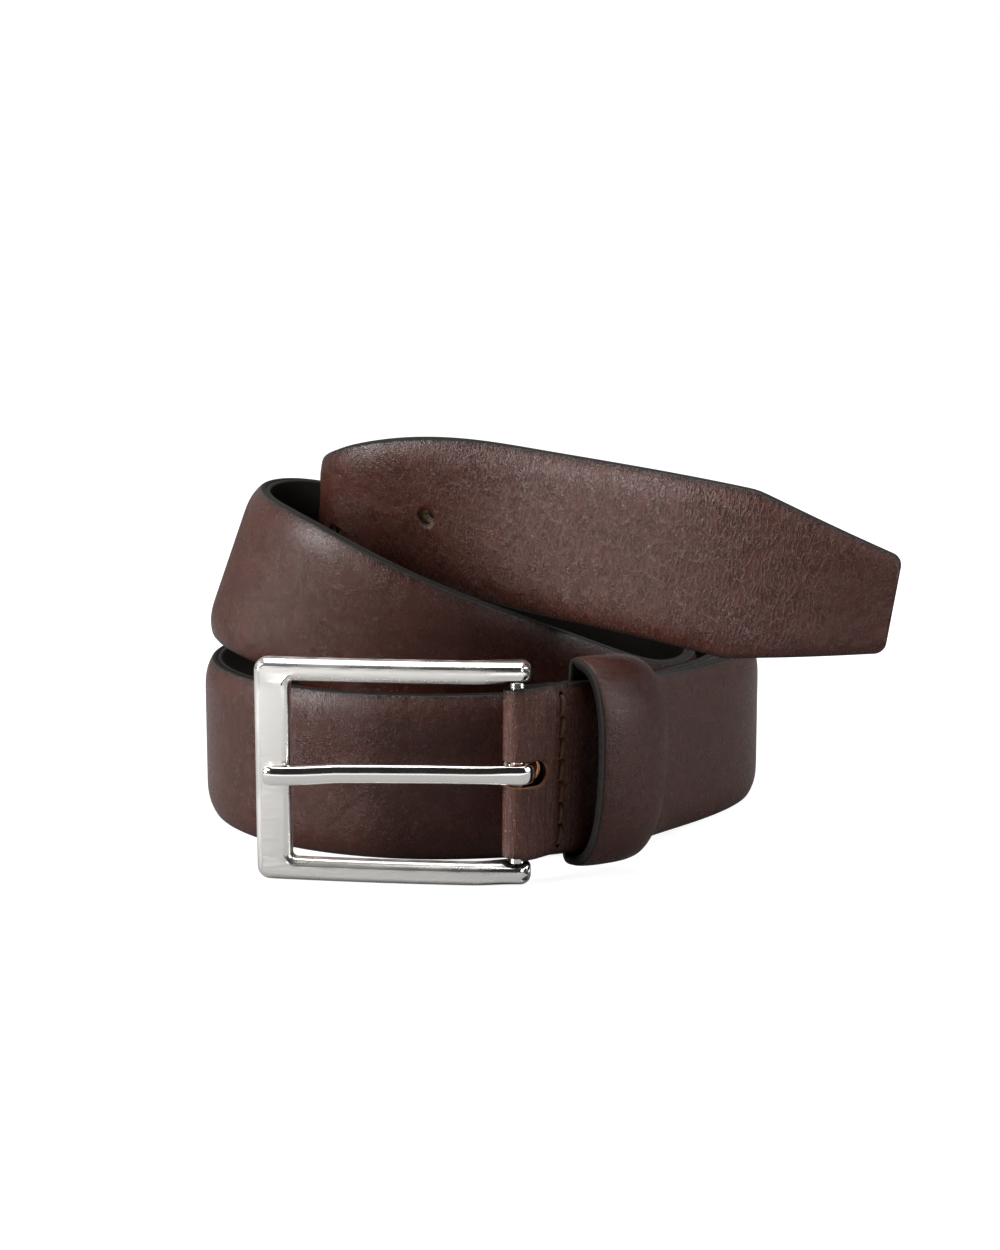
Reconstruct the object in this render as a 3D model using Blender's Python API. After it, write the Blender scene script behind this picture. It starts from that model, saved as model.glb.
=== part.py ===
"""A coiled leather dress belt: a folded, stitched strap in three plies, its keeper loop, and a
pronged buckle that turns on a round heel bar. Metres, +Z up, the coil standing on its lower edge.

The strap is laid out on one long centre line. place(s, n, w) turns a point of the flat strap into
space: s runs along the strap from the heel bar, n stands out from its face, w runs up its width.
"""

import math

import bmesh
import bpy
import numpy as np
from mathutils import Vector

MM = 0.001

# Strap
STRAP_HALF_WIDTH = 17.5 * MM
FACE_HEIGHT = 2.0 * MM
EDGE_FACE_HEIGHT = 0.2 * MM
FLAT_CROWN = 12.5 * MM
SHOULDER = 15.8 * MM
SHOULDER_DROP = 0.6 * MM
GRAIN_THICKNESS = 1.2 * MM
LINING_BACK = -2.0 * MM
LINING_FRONT = -1.05 * MM
EDGE_GRAIN_BACK = -0.92 * MM
GLUE_LINE = 0.26 * MM
CORE_HALF_WIDTH = 16.3 * MM
STRAP_STEP = 5.0 * MM
NEAR_BAR_STEPS = [s * MM for s in (9.5, 12.7, 16.0, 20.0, 24.0, 27.5, 31.5, 34.0, 39.0)]

# Tapered end
TAPER_LENGTH = 31.0 * MM
TIP_HALF_WIDTH = 9.7 * MM
TIP_CORNER = 1.6 * MM
CORE_STOPS_SHORT = 4.0 * MM

# Size holes
HOLE_RADIUS = 1.9 * MM
FIRST_HOLE_FROM_TIP = 108.2 * MM
HOLE_SPACING = 25.0 * MM
HOLE_COUNT = 5

# Fold at the heel bar
BAR_RADIUS = 1.5 * MM
RUNNING_GAP = 0.3 * MM
FOLD_HALF_WIDTH = 17.1 * MM
RETURN_LENGTH = 37.0 * MM
RETURN_HEIGHT = -2.7 * MM
RETURN_OVER_KEEPER = -4.05 * MM
PLIES_MEET = NEAR_BAR_STEPS[0]
INNER_PLIES_START = 6.5 * MM
CORE_STARTS = 12.0 * MM
SLOT_HALF_WIDTH = 2.65 * MM
SLOT_REACH = 5.9 * MM

# Stitching
STITCH_ROWS = {"bar_row": 8.8 * MM, "keeper_row": 32.0 * MM}
STITCH_HOLES = 8
STITCH_PITCH = 4.4 * MM
STITCH_HOLE_RADIUS = 0.65 * MM
THREAD_RADIUS = 0.2 * MM

# Keeper loop, as wide as the steps that it spans
KEEPER_STEPS = [s for s in NEAR_BAR_STEPS if 12 * MM < s < 28 * MM]
KEEPER_HALF_HEIGHT = 21.5 * MM
KEEPER_RAISED = 1.0 * MM
KEEPER_FRONT = 11.0 * MM
KEEPER_THICKNESS = 2.3 * MM
KEEPER_LEG_BACK = -3.25 * MM
KEEPER_LEG_FRONT = -2.25 * MM
KEEPER_LEG_CORNER = 2.4 * MM
KEEPER_BOW = 0.8

# Buckle, laid out from the heel bar: u towards the tip of the prong, v out of its face, w up
BUCKLE_TURN = math.radians(7.0)
BUCKLE_REACH = 52.8 * MM
BUCKLE_HALF_HEIGHT = 22.75 * MM
ARM_WIDTH = 4.6 * MM
END_BAR_WIDTH = 7.2 * MM
FRAME_THICKNESS = 3.4 * MM
FRAME_MIDDLE = 1.9 * MM
FRAME_BOW = 0.8 * MM
FRAME_CHAMFER = 0.9 * MM
OUTER_CORNER = 3.0 * MM
INNER_CORNER = 1.4 * MM
ARM_END_RADIUS = 2.7 * MM
ARM_BLEND = 9.0 * MM
BAR_SOCKET_DEPTH = 2.2 * MM
SOCKET_GAP = 0.2 * MM

# Prong
EYE_RADIUS = 3.7 * MM
PRONG_HALF_WIDTH = 1.95 * MM

# The coil's middle in the layout's frame, so that the finished belt stands on the origin
COIL_MIDDLE = Vector((6.13, 62.84, 0.0)) * MM

# Centre line of the strap, by hand: x, y, z in millimetres, and how far its upper edge leans in x and y
ROUTE = (
    (3.5, -1.5, 22.75, 0, 0),
    (19, 7, 22.3, 0, 0),
    (34.5, 32, 19.2, 0, 0),
    (51, 58, 17.7, 0, 0),
    (58.5, 78, 17.55, 0, 0),
    (50, 106, 17.55, 0, 0),
    (26, 124, 17.55, 0, 0),
    (0, 129, 17.55, 0, 0),
    (-35, 119, 17.55, 0, 0),
    (-60.5, 91, 17.55, 0, 0),
    (-65, 62, 17.55, 0, 0),
    (-56, 38.5, 17.55, 0, 0),
    (-42.3, 25, 17.55, 0, 0),
    (-28.6, 18.6, 17.55, 0, 0),
    (-12.5, 16.2, 17.55, 0, 0),
    (-1, 17.3, 17.55, 0, 0),
    (14, 21.5, 17.55, 0, 0),
    (26.5, 33, 17.55, 0, 0),
    (42.3, 52.2, 17.6, 0, 0),
    (51.4, 74, 17.6, 0, 0),
    (45.5, 98.5, 18.2, 0.05, 0),
    (24, 116, 22, 0.15, 0),
    (0, 121, 32, 0.28, 0),
    (-25, 114, 44, 0.33, 0),
    (-44.5, 97.5, 54.3, 0.34, 0),
    (-58, 76, 57.5, 0.36, 0),
    (-55.5, 49, 56.1, 0.34, -0.1),
    (-44.5, 35, 52.7, 0.3, -0.22),
    (-25.5, 26.5, 44, 0.28, -0.25),
    (-5.8, 28, 35.3, 0.26, -0.2),
    (14, 37.5, 26.4, 0.22, -0.2),
    (32.3, 53, 18.8, 0.12, -0.25),
    (43, 73, 17.8, 0.08, -0.12),
    (36.2, 94, 19.8, 0.12, 0),
    (16, 107, 29, 0.22, 0),
    (-8, 111, 43, 0.33, 0),
    (-28.5, 100.5, 48.5, 0.33, 0),
    (-41.4, 84, 53.6, 0.3, -0.05),
    (-38.4, 66.5, 61.5, 0.28, -0.16),
    (-20, 53.5, 68.3, 0.13, -0.38),
    (2, 41, 67.1, 0.05, -0.06),
    (21, 26, 65, 0.03, 0),
    (41, 12, 62.4, 0, 0),
    (60, 5, 59, 0, 0),
    (78, 1, 56, 0, 0),
)
ROUTE_SAMPLES = 4000


def clear_scene():
    for thing in list(bpy.data.objects):
        bpy.data.objects.remove(thing, do_unlink=True)


def natural_spline(knots, values, at):
    """A smooth cubic through the values, straight at both ends."""
    gaps = np.diff(knots)
    slopes = np.diff(values, axis=0) / gaps[:, None]
    system = np.eye(len(knots))
    wanted = np.zeros_like(values)
    for i in range(1, len(knots) - 1):
        system[i, i - 1 : i + 2] = gaps[i - 1], 2 * (gaps[i - 1] + gaps[i]), gaps[i]
        wanted[i] = 6 * (slopes[i] - slopes[i - 1])
    bends = np.linalg.solve(system, wanted)
    i = np.clip(np.searchsorted(knots, at, side="right") - 1, 0, len(gaps) - 1)
    t = (at - knots[i])[:, None]
    gap = gaps[i][:, None]
    start = slopes[i] - gap * (2 * bends[i] + bends[i + 1]) / 6
    return values[i] + start * t + bends[i] / 2 * t**2 + (bends[i + 1] - bends[i]) / (6 * gap) * t**3


def unit(rows):
    return rows / np.linalg.norm(rows, axis=1)[:, None]


def strap_line():
    """Distance, centre, outward direction and upward direction at close steps along the strap."""
    route = np.array(ROUTE, float)
    route[:, :3] *= MM
    chords = np.linalg.norm(np.diff(route[:, :3], axis=0), axis=1)
    knots = np.concatenate([[0.0], np.cumsum(chords)])
    fine = natural_spline(knots, route, np.linspace(0.0, knots[-1], ROUTE_SAMPLES))
    steps = np.linalg.norm(np.diff(fine[:, :3], axis=0), axis=1)
    along = np.concatenate([[0.0], np.cumsum(steps)])
    centre = fine[:, :3]
    forward = unit(np.gradient(centre, along, axis=0))
    lean = np.column_stack([fine[:, 3:], np.ones(len(fine))])
    up = unit(lean - (lean * forward).sum(axis=1)[:, None] * forward)
    out = np.cross(forward, up)
    return along, centre, out, up


ALONG, CENTRE, OUT, UP = strap_line()
STRAP_LENGTH = ALONG[-1]
START_FORWARD = unit(np.diff(CENTRE[:2], axis=0))[0]


def place(s, n, w):
    """The point s along the strap, n out of its middle surface and w up its width."""
    rows = [np.interp(s, ALONG, table[:, k]) for table in (CENTRE, OUT, UP) for k in range(3)]
    centre, out, up = np.array(rows).reshape(3, 3)
    before_bar = min(s, 0.0)
    return Vector(centre + START_FORWARD * before_bar + out * n + up * w) - COIL_MIDDLE


HEEL_BAR = place(0.0, 0.0, 0.0)


def place_buckle(u, v, w):
    """The point u from the heel bar towards the prong's tip, v out of the buckle's face, w up."""
    side, front = math.cos(BUCKLE_TURN), math.sin(BUCKLE_TURN)
    return Vector((-u * side - v * front, u * front - v * side, w))


def smooth_step(value, start, end):
    t = min(max((value - start) / (end - start), 0.0), 1.0)
    return t * t * (3 - 2 * t)


def material(name, colour, roughness, metallic=0.0):
    made = bpy.data.materials.new(name)
    made.use_nodes = True
    shader = made.node_tree.nodes["Principled BSDF"]
    shader.inputs["Base Color"].default_value = (*colour, 1.0)
    shader.inputs["Roughness"].default_value = roughness
    shader.inputs["Metallic"].default_value = metallic
    return made


def add_object(name, bm, finish, parent, origin=None):
    bmesh.ops.recalc_face_normals(bm, faces=bm.faces)
    mesh = bpy.data.meshes.new(name)
    bm.to_mesh(mesh)
    bm.free()
    mesh.materials.append(finish)
    made = bpy.data.objects.new(name, mesh)
    bpy.context.scene.collection.objects.link(made)
    made.parent = parent
    if origin is not None:
        made.location = origin
    return made


def hide_cutter(cutter):
    cutter.hide_render = True
    cutter.display_type = "WIRE"


def add_boolean(target, tool, operation):
    hide_cutter(tool)
    boolean = target.modifiers.new(f"{operation.lower()}_{tool.name}", "BOOLEAN")
    boolean.operation = operation
    boolean.solver = "EXACT"
    boolean.object = tool


def skin(bm, rings, rising, closed=False):
    """Joins rings of points with triangles. Where rising[k] says so, side k is split the other
    way, so that two plies that face each other are split along the same lines."""
    rows = [[bm.verts.new(point) for point in ring] for ring in rings]
    count = len(rows[0])
    pairs = list(zip(rows, rows[1:])) + ([(rows[-1], rows[0])] if closed else [])
    for near, far in pairs:
        for k in range(count):
            a, b, c, d = near[k], near[(k + 1) % count], far[(k + 1) % count], far[k]
            if rising[k]:
                bm.faces.new((a, b, c))
                bm.faces.new((a, c, d))
            else:
                bm.faces.new((a, b, d))
                bm.faces.new((b, c, d))
    if not closed:
        bm.faces.new(rows[0])
        bm.faces.new(reversed(rows[-1]))


def rising_sides(section):
    """Which sides of a section, a list of (height, width) pairs, run up the width."""
    following = section[1:] + section[:1]
    return [after[1] > before[1] for before, after in zip(section, following)]


def half_width(s):
    """Half of the strap's width, which tapers to a blunt end with eased corners."""
    to_tip = STRAP_LENGTH - s
    taper = min(to_tip / TAPER_LENGTH, 1.0)
    width = TIP_HALF_WIDTH + (STRAP_HALF_WIDTH - TIP_HALF_WIDTH) * taper
    inside = max(TIP_CORNER - to_tip, 0.0)
    return width - (TIP_CORNER - math.sqrt(TIP_CORNER**2 - inside**2))


def stations(start, end):
    """Distances along the strap, closer near the fold and at the tip."""
    body = np.linspace(45 * MM, STRAP_LENGTH - TAPER_LENGTH, round((STRAP_LENGTH - 76 * MM) / STRAP_STEP))
    tip = STRAP_LENGTH - np.array([24.0, 16.0, 8.0, 4.0, TIP_CORNER / MM, 1.0, 0.4, 0.1]) * MM
    return [start] + [s for s in [*NEAR_BAR_STEPS, *body, *tip] if start + MM < s < end - 0.05 * MM] + [end]


def face_height(w, dome=1.0):
    """Height of the outer face at a place across the full width."""
    columns = (FLAT_CROWN, SHOULDER, STRAP_HALF_WIDTH)
    heights = (FACE_HEIGHT, FACE_HEIGHT - SHOULDER_DROP, EDGE_FACE_HEIGHT)
    return FACE_HEIGHT + dome * (float(np.interp(abs(w), columns, heights)) - FACE_HEIGHT)


def grain_section(dome, thickness, width):
    """The top leather across the strap, as heights above its middle line: flat where it is folded,
    and pressed down over the filler to thin edges along the belt."""
    scale = width / STRAP_HALF_WIDTH
    middle = FACE_HEIGHT - GRAIN_THICKNESS / 2
    thinner = (GRAIN_THICKNESS - thickness) / 2
    edge_back = -GRAIN_THICKNESS / 2 + dome * (EDGE_GRAIN_BACK - FACE_HEIGHT + GRAIN_THICKNESS)
    columns = (-STRAP_HALF_WIDTH, -SHOULDER, -FLAT_CROWN, FLAT_CROWN, SHOULDER, STRAP_HALF_WIDTH)
    outer = [(face_height(w, dome) - middle - thinner, w * scale) for w in columns]
    back = -GRAIN_THICKNESS / 2 + thinner
    inner = [
        (edge_back + thinner, STRAP_HALF_WIDTH * scale),
        (back, FLAT_CROWN * scale),
        (back, -FLAT_CROWN * scale),
        (edge_back + thinner, -STRAP_HALF_WIDTH * scale),
    ]
    return outer + inner


def return_height(s):
    """Middle of the turned-back end, which steps over the keeper's hidden leg."""
    over = smooth_step(s, PLIES_MEET, KEEPER_STEPS[0]) - smooth_step(s, KEEPER_STEPS[-1], 31.5 * MM)
    settled = RETURN_HEIGHT * smooth_step(s, 0, 8 * MM)
    fold = -(BAR_RADIUS + RUNNING_GAP + GRAIN_THICKNESS / 2) * (1 - smooth_step(s, 0, 8 * MM))
    return fold + settled + over * (RETURN_OVER_KEEPER - RETURN_HEIGHT)


def front_height(s):
    """Middle of the top leather in front of the heel bar, easing down to the strap's face."""
    fold = BAR_RADIUS + RUNNING_GAP + GRAIN_THICKNESS / 2
    strap = FACE_HEIGHT - GRAIN_THICKNESS / 2
    return strap + (fold - strap) * (1 - smooth_step(s, 0, 8 * MM))


def grain_path():
    """Points (s, n) of the top leather's middle line, from its turned-back end round the bar."""
    radius = BAR_RADIUS + RUNNING_GAP + GRAIN_THICKNESS / 2
    steps = [s for s in NEAR_BAR_STEPS if s < RETURN_LENGTH]
    behind = sorted([3 * MM, INNER_PLIES_START, *steps, 29.5 * MM, RETURN_LENGTH], reverse=True)
    path = [(s, return_height(s)) for s in behind]
    for turn in np.radians(np.arange(-90, 91, 22.5)):
        path.append((-radius * math.cos(turn), radius * math.sin(turn)))
    path += [(s, front_height(s)) for s in (2.5 * MM, 5 * MM, 7 * MM)]
    path += [(s, front_height(s)) for s in stations(PLIES_MEET, STRAP_LENGTH)]
    return path, len(behind)


def make_grain_ply(finish, parent):
    """The top leather, one piece from the turned-back end, round the heel bar, to the tip."""
    path, behind = grain_path()
    path = np.array(path)
    lines = np.diff(path, axis=0)
    lines = unit(np.vstack([lines[:1], unit(lines[:-1]) + unit(lines[1:]), lines[-1:]]))
    rings = []
    for i, ((s, n), (along, outward)) in enumerate(zip(path, lines)):
        front = i >= behind and s > 0
        dome = smooth_step(s, MM, PLIES_MEET) if front else 0.0
        width = half_width(s) if front else FOLD_HALF_WIDTH
        thickness = GRAIN_THICKNESS
        section = grain_section(dome, thickness, width)
        rings.append([place(s - outward * h, n + along * h, w) for h, w in section])
    bm = bmesh.new()
    skin(bm, rings, rising_sides(grain_section(1.0, GRAIN_THICKNESS, STRAP_HALF_WIDTH)))
    return add_object("strap_grain_ply", bm, finish, parent)


def make_inner_ply(name, section, start, end, finish, parent):
    """A ply behind the top leather: its section is a list of (height, width) pairs."""
    rings = []
    for s in stations(start, end):
        scale = half_width(s) / STRAP_HALF_WIDTH
        rings.append([place(s, n, w * scale) for n, w in section])
    bm = bmesh.new()
    skin(bm, rings, rising_sides(section))
    return add_object(name, bm, finish, parent)


def make_core(finish, parent):
    top = FACE_HEIGHT - GRAIN_THICKNESS - GLUE_LINE
    bottom = LINING_FRONT + GLUE_LINE
    section = [
        (bottom, -CORE_HALF_WIDTH),
        (top, -FLAT_CROWN),
        (top, FLAT_CROWN),
        (bottom, CORE_HALF_WIDTH),
        (bottom, FLAT_CROWN),
        (bottom, -FLAT_CROWN),
    ]
    end = STRAP_LENGTH - CORE_STOPS_SHORT
    return make_inner_ply("strap_core_filler", section, CORE_STARTS, end, finish, parent)


def make_lining(finish, parent):
    columns = (-STRAP_HALF_WIDTH, -FLAT_CROWN, FLAT_CROWN, STRAP_HALF_WIDTH)
    section = [(LINING_FRONT, w) for w in columns] + [(LINING_BACK, w) for w in reversed(columns)]
    return make_inner_ply("strap_lining_ply", section, INNER_PLIES_START, STRAP_LENGTH, finish, parent)


def prism(bm, outline, low, high):
    """A straight solid between two heights: outline gives its points at each of them."""
    rings = [outline(low), outline(high)]
    skin(bm, rings, [True] * len(rings[0]))


def strap_cylinder(bm, s, w, radius, low, high, sides):
    def outline(n):
        turns = [2 * math.pi * k / sides for k in range(sides)]
        return [place(s, n, w) + across * radius * math.cos(t) + up * radius * math.sin(t) for t in turns]

    up = (place(s, 0, MM) - place(s, 0, 0)).normalized()
    out = (place(s, MM, 0) - place(s, 0, 0)).normalized()
    across = up.cross(out)
    prism(bm, outline, low, high)


def make_size_hole_cutter(parent):
    bm = bmesh.new()
    for k in range(HOLE_COUNT):
        s = STRAP_LENGTH - FIRST_HOLE_FROM_TIP - k * HOLE_SPACING
        strap_cylinder(bm, s, 0.0, HOLE_RADIUS, -4 * MM, 4 * MM, 12)
    return add_object("size_hole_cutter", bm, None, parent)


def stitch_widths():
    return [(k - (STITCH_HOLES - 1) / 2) * STITCH_PITCH for k in range(STITCH_HOLES)]


def make_stitch_hole_cutter(row, parent):
    bm = bmesh.new()
    for w in stitch_widths():
        strap_cylinder(bm, STITCH_ROWS[row], w, STITCH_HOLE_RADIUS, -6 * MM, 5 * MM, 6)
    return add_object(f"{row}_hole_cutter", bm, None, parent)


def make_slot_cutter(parent):
    """A round-ended slot through both sides of the fold, where the prong's eye sits."""
    ends = SLOT_REACH - SLOT_HALF_WIDTH
    turns = np.radians(np.arange(-90, 91, 30))
    outline = [(ends + SLOT_HALF_WIDTH * math.cos(t), SLOT_HALF_WIDTH * math.sin(t)) for t in turns]
    outline += [(-8 * MM, SLOT_HALF_WIDTH), (-8 * MM, -SLOT_HALF_WIDTH)]
    bm = bmesh.new()
    prism(bm, lambda n: [place(s, n, w) for s, w in outline], -6 * MM, 6 * MM)
    return add_object("prong_slot_cutter", bm, None, parent)


def make_thread(name, s, surface, side, finish, parent):
    """One thread of a row of lockstitch: it lies on the leather and dips into each hole."""
    above = THREAD_RADIUS + 0.16 * MM
    path = []
    for w in stitch_widths():
        for step, drop in ((-1.1, 0.0), (-0.55, 0.05), (-0.22, 0.35), (0.22, 0.35), (0.55, 0.05), (1.1, 0.0)):
            at = w + step * MM
            path.append((surface(at) + side * (above - drop * MM), at))
    path = np.array(path)
    lines = unit(np.gradient(path, axis=0))
    rings = []
    for (n, w), (rise, along) in zip(path, lines):
        ring = []
        for turn in np.radians(np.arange(0, 360, 60)):
            off = THREAD_RADIUS * math.cos(turn)
            ring.append(place(s + THREAD_RADIUS * math.sin(turn), n + off * along, w - off * rise))
        rings.append(ring)
    bm = bmesh.new()
    skin(bm, rings, [True] * 6)
    return add_object(name, bm, finish, parent)


def corner(centre_n, centre_w, radius, start, end, count=4):
    turns = np.radians(np.linspace(start, end, count))
    return [(centre_n + radius * math.cos(t), centre_w + radius * math.sin(t)) for t in turns]


def keeper_loop(inset, leg, leg_corner):
    """The keeper's outline as (n, w) points: a bowed front with wide corners, and a flat hidden leg."""
    middle = KEEPER_LEG_BACK + KEEPER_LEG_CORNER
    deep, half = KEEPER_FRONT - middle - inset, KEEPER_HALF_HEIGHT - inset
    bow = []
    for turn in np.radians(np.linspace(-84, 84, 13)):
        n = deep * abs(math.cos(turn)) ** KEEPER_BOW
        w = half * math.copysign(abs(math.sin(turn)) ** KEEPER_BOW, turn)
        bow.append((middle + n, w))
    back = corner(leg + leg_corner, half - leg_corner, leg_corner, 90, 180)
    back += corner(leg + leg_corner, leg_corner - half, leg_corner, 180, 270)
    return bow + back


def make_keeper(finish, parent):
    """The fixed loop that holds the belt's free end, its hidden leg caught under the turned-back end."""
    outer = keeper_loop(0.0, KEEPER_LEG_BACK, KEEPER_LEG_CORNER)
    inner = keeper_loop(KEEPER_THICKNESS, KEEPER_LEG_FRONT, 0.5 * MM)
    ease = 0.5 * MM
    start, *between, end = KEEPER_STEPS
    rings = []
    for (outer_n, outer_w), (inner_n, inner_w) in zip(outer, inner):
        middle_n, middle_w = (outer_n + inner_n) / 2, (outer_w + inner_w) / 2
        ring = [(s, inner_n, inner_w) for s in KEEPER_STEPS]
        ring += [(end, middle_n, middle_w), (end - ease, outer_n, outer_w)]
        ring += [(s, outer_n, outer_w) for s in reversed(between)]
        ring += [(start + ease, outer_n, outer_w), (start, middle_n, middle_w)]
        rings.append([place(s, n, w + KEEPER_RAISED) for s, n, w in ring])
    bm = bmesh.new()
    skin(bm, rings, [True] * len(rings[0]), closed=True)
    return add_object("keeper_band", bm, finish, parent)


def frame_edges():
    """Matching (u, w) points on the outer and inner edges of the frame, from arm end to arm end."""
    reach, half = BUCKLE_REACH, BUCKLE_HALF_HEIGHT
    inner_reach, inner_half = reach - END_BAR_WIDTH, half - ARM_WIDTH
    ends = [-ARM_END_RADIUS * math.cos(math.radians(t)) for t in (8, 30, 50, 70, 90)]
    arm = [*ends, *(np.array([3.0, 6.0, 9.0, 16.0, 24.0, 32.0, 40.0]) * MM)]
    outer = [(u, half) for u in arm]
    inner = [(u, inner_half) for u in arm]
    turns = np.radians(np.linspace(90, 0, 5))
    for t in turns:
        middle = reach - OUTER_CORNER, half - OUTER_CORNER
        outer.append((middle[0] + OUTER_CORNER * math.cos(t), middle[1] + OUTER_CORNER * math.sin(t)))
        middle = inner_reach - INNER_CORNER, inner_half - INNER_CORNER
        inner.append((middle[0] + INNER_CORNER * math.cos(t), middle[1] + INNER_CORNER * math.sin(t)))
    outer += [(reach, 8 * MM), (reach, 0.0)]
    inner += [(inner_reach, 8 * MM), (inner_reach, 0.0)]
    outer += [(u, -w) for u, w in reversed(outer[:-1])]
    inner += [(u, -w) for u, w in reversed(inner[:-1])]
    return outer, inner


def frame_middle(u):
    """How far the frame's middle surface stands in front of the heel bar's axis."""
    bow = FRAME_BOW * math.sin(math.pi * min(max(u / BUCKLE_REACH, 0.0), 1.0))
    return (FRAME_MIDDLE + bow) * smooth_step(u, -0.5 * MM, ARM_BLEND)


def frame_half_thickness(u):
    if u < 0:
        return math.sqrt(max(ARM_END_RADIUS**2 - u**2, 0.0))
    return ARM_END_RADIUS + (FRAME_THICKNESS / 2 - ARM_END_RADIUS) * smooth_step(u, 0, ARM_BLEND)


def frame_ring(outer, inner):
    ring = []
    width = math.dist(outer, inner)
    for side, edge in ((-1, 0), (-1, 1), (1, 1), (1, 0)):
        points = []
        for chamfered in (False, True):
            step = FRAME_CHAMFER / width if chamfered else 0.0
            part = step if edge == 0 else 1 - step
            u = inner[0] + (outer[0] - inner[0]) * part
            w = inner[1] + (outer[1] - inner[1]) * part
            half = frame_half_thickness(u)
            depth = half if chamfered else half - min(FRAME_CHAMFER, half * 0.6)
            points.append(place_buckle(u, frame_middle(u) + side * depth, w))
        if (side, edge) in ((-1, 1), (1, 0)):
            points.reverse()
        ring += points
    return ring


def make_buckle_frame(finish, parent):
    outer, inner = frame_edges()
    rings = [frame_ring(a, b) for a, b in zip(outer, inner)]
    bm = bmesh.new()
    skin(bm, rings, [True] * 8)
    frame = add_object("buckle_frame", bm, finish, parent, HEEL_BAR)
    socket = make_bar("bar_socket_cutter", BAR_RADIUS + SOCKET_GAP, bar_half_length() + SOCKET_GAP, None, parent)
    add_boolean(frame, socket, "DIFFERENCE")
    return frame


def bar_half_length():
    return BUCKLE_HALF_HEIGHT - ARM_WIDTH + BAR_SOCKET_DEPTH


def make_bar(name, radius, half_length, finish, parent):
    bm = bmesh.new()
    bmesh.ops.create_cone(
        bm, cap_ends=True, segments=16, radius1=radius, radius2=radius, depth=2 * half_length
    )
    return add_object(name, bm, finish, parent, HEEL_BAR)


def make_prong(finish, parent):
    """A round-nosed prong with a rolled eye: its shank rises over the end bar and dips at the tip."""
    line = (
        (1.2, 1.6, 1.3), (4.5, 2.3, 1.4), (9.0, 2.9, 1.5), (18.0, 3.8, 1.5), (28.0, 4.7, 1.5),
        (38.0, 5.3, 1.5), (44.0, 5.6, 1.45), (47.5, 5.6, 1.35), (49.6, 5.45, 1.15), (50.6, 5.3, 0.8),
    )
    rings = []
    for u, v, depth in line:
        width = PRONG_HALF_WIDTH / MM * min(1.0, depth / 1.45)
        ring = []
        for turn in np.radians(np.arange(22.5, 360, 45)):
            ring.append(place_buckle(u * MM, (v + depth * math.cos(turn)) * MM, width * math.sin(turn) * MM))
        rings.append(ring)
    bm = bmesh.new()
    skin(bm, rings, [True] * 8)
    prong = add_object("prong", bm, finish, parent, HEEL_BAR)
    add_boolean(prong, make_bar("prong_eye", EYE_RADIUS, PRONG_HALF_WIDTH, None, parent), "UNION")
    bore = make_bar("prong_bore_cutter", BAR_RADIUS + RUNNING_GAP, 2 * PRONG_HALF_WIDTH, None, parent)
    add_boolean(prong, bore, "DIFFERENCE")
    return prong


def shade(thing):
    thing.data.shade_smooth()
    thing.data.set_sharp_from_angle(angle=math.radians(35))


def main():
    clear_scene()
    leather = material("brown_leather", (0.045, 0.018, 0.012), 0.42)
    filler = material("leatherboard", (0.25, 0.16, 0.09), 0.85)
    lining = material("dark_lining", (0.02, 0.012, 0.01), 0.6)
    thread = material("brown_thread", (0.06, 0.03, 0.02), 0.8)
    brushed = material("brushed_nickel", (0.72, 0.70, 0.67), 0.32, 1.0)
    polished = material("polished_nickel", (0.80, 0.78, 0.75), 0.15, 1.0)

    belt = bpy.data.objects.new("belt", None)
    bpy.context.scene.collection.objects.link(belt)

    grain = make_grain_ply(leather, belt)
    core = make_core(filler, belt)
    backing = make_lining(lining, belt)
    keeper = make_keeper(leather, belt)
    frame = make_buckle_frame(brushed, belt)
    bar = make_bar("heel_bar", BAR_RADIUS, bar_half_length(), brushed, belt)
    prong = make_prong(polished, belt)

    size_holes = make_size_hole_cutter(belt)
    slot = make_slot_cutter(belt)
    row_holes = {row: make_stitch_hole_cutter(row, belt) for row in STITCH_ROWS}
    for ply in (grain, core, backing):
        add_boolean(ply, size_holes, "DIFFERENCE")
        add_boolean(ply, row_holes["keeper_row"], "DIFFERENCE")
    add_boolean(grain, slot, "DIFFERENCE")
    for ply in (grain, backing):
        add_boolean(ply, row_holes["bar_row"], "DIFFERENCE")

    threads = []
    back_of_return = -GRAIN_THICKNESS / 2
    for row, s in STITCH_ROWS.items():
        front = lambda w, s=s: front_height(s) + face_height(w) - FACE_HEIGHT + GRAIN_THICKNESS / 2
        back = lambda w, s=s: return_height(s) + back_of_return
        threads.append(make_thread(f"needle_thread_{row}", s, front, 1, thread, belt))
        threads.append(make_thread(f"bobbin_thread_{row}", s, back, -1, thread, belt))

    for piece in (grain, core, backing, keeper, frame, bar, prong, *threads):
        shade(piece)


main()
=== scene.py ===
# %% [markdown]
# # A coiled leather dress belt
# The belt is cut flat, as a saddler cuts it, and only then coiled. Each leather piece starts as a flat
# sheet whose x runs along the strap, y through its thickness and z up its width. The flat sheet is
# punched and trimmed with ordinary tools, and one function then carries every point onto the coil.
# That keeps the grain, the holes and the edges true to the leather however it lies.

# %% Load the fixed model
import math

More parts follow.
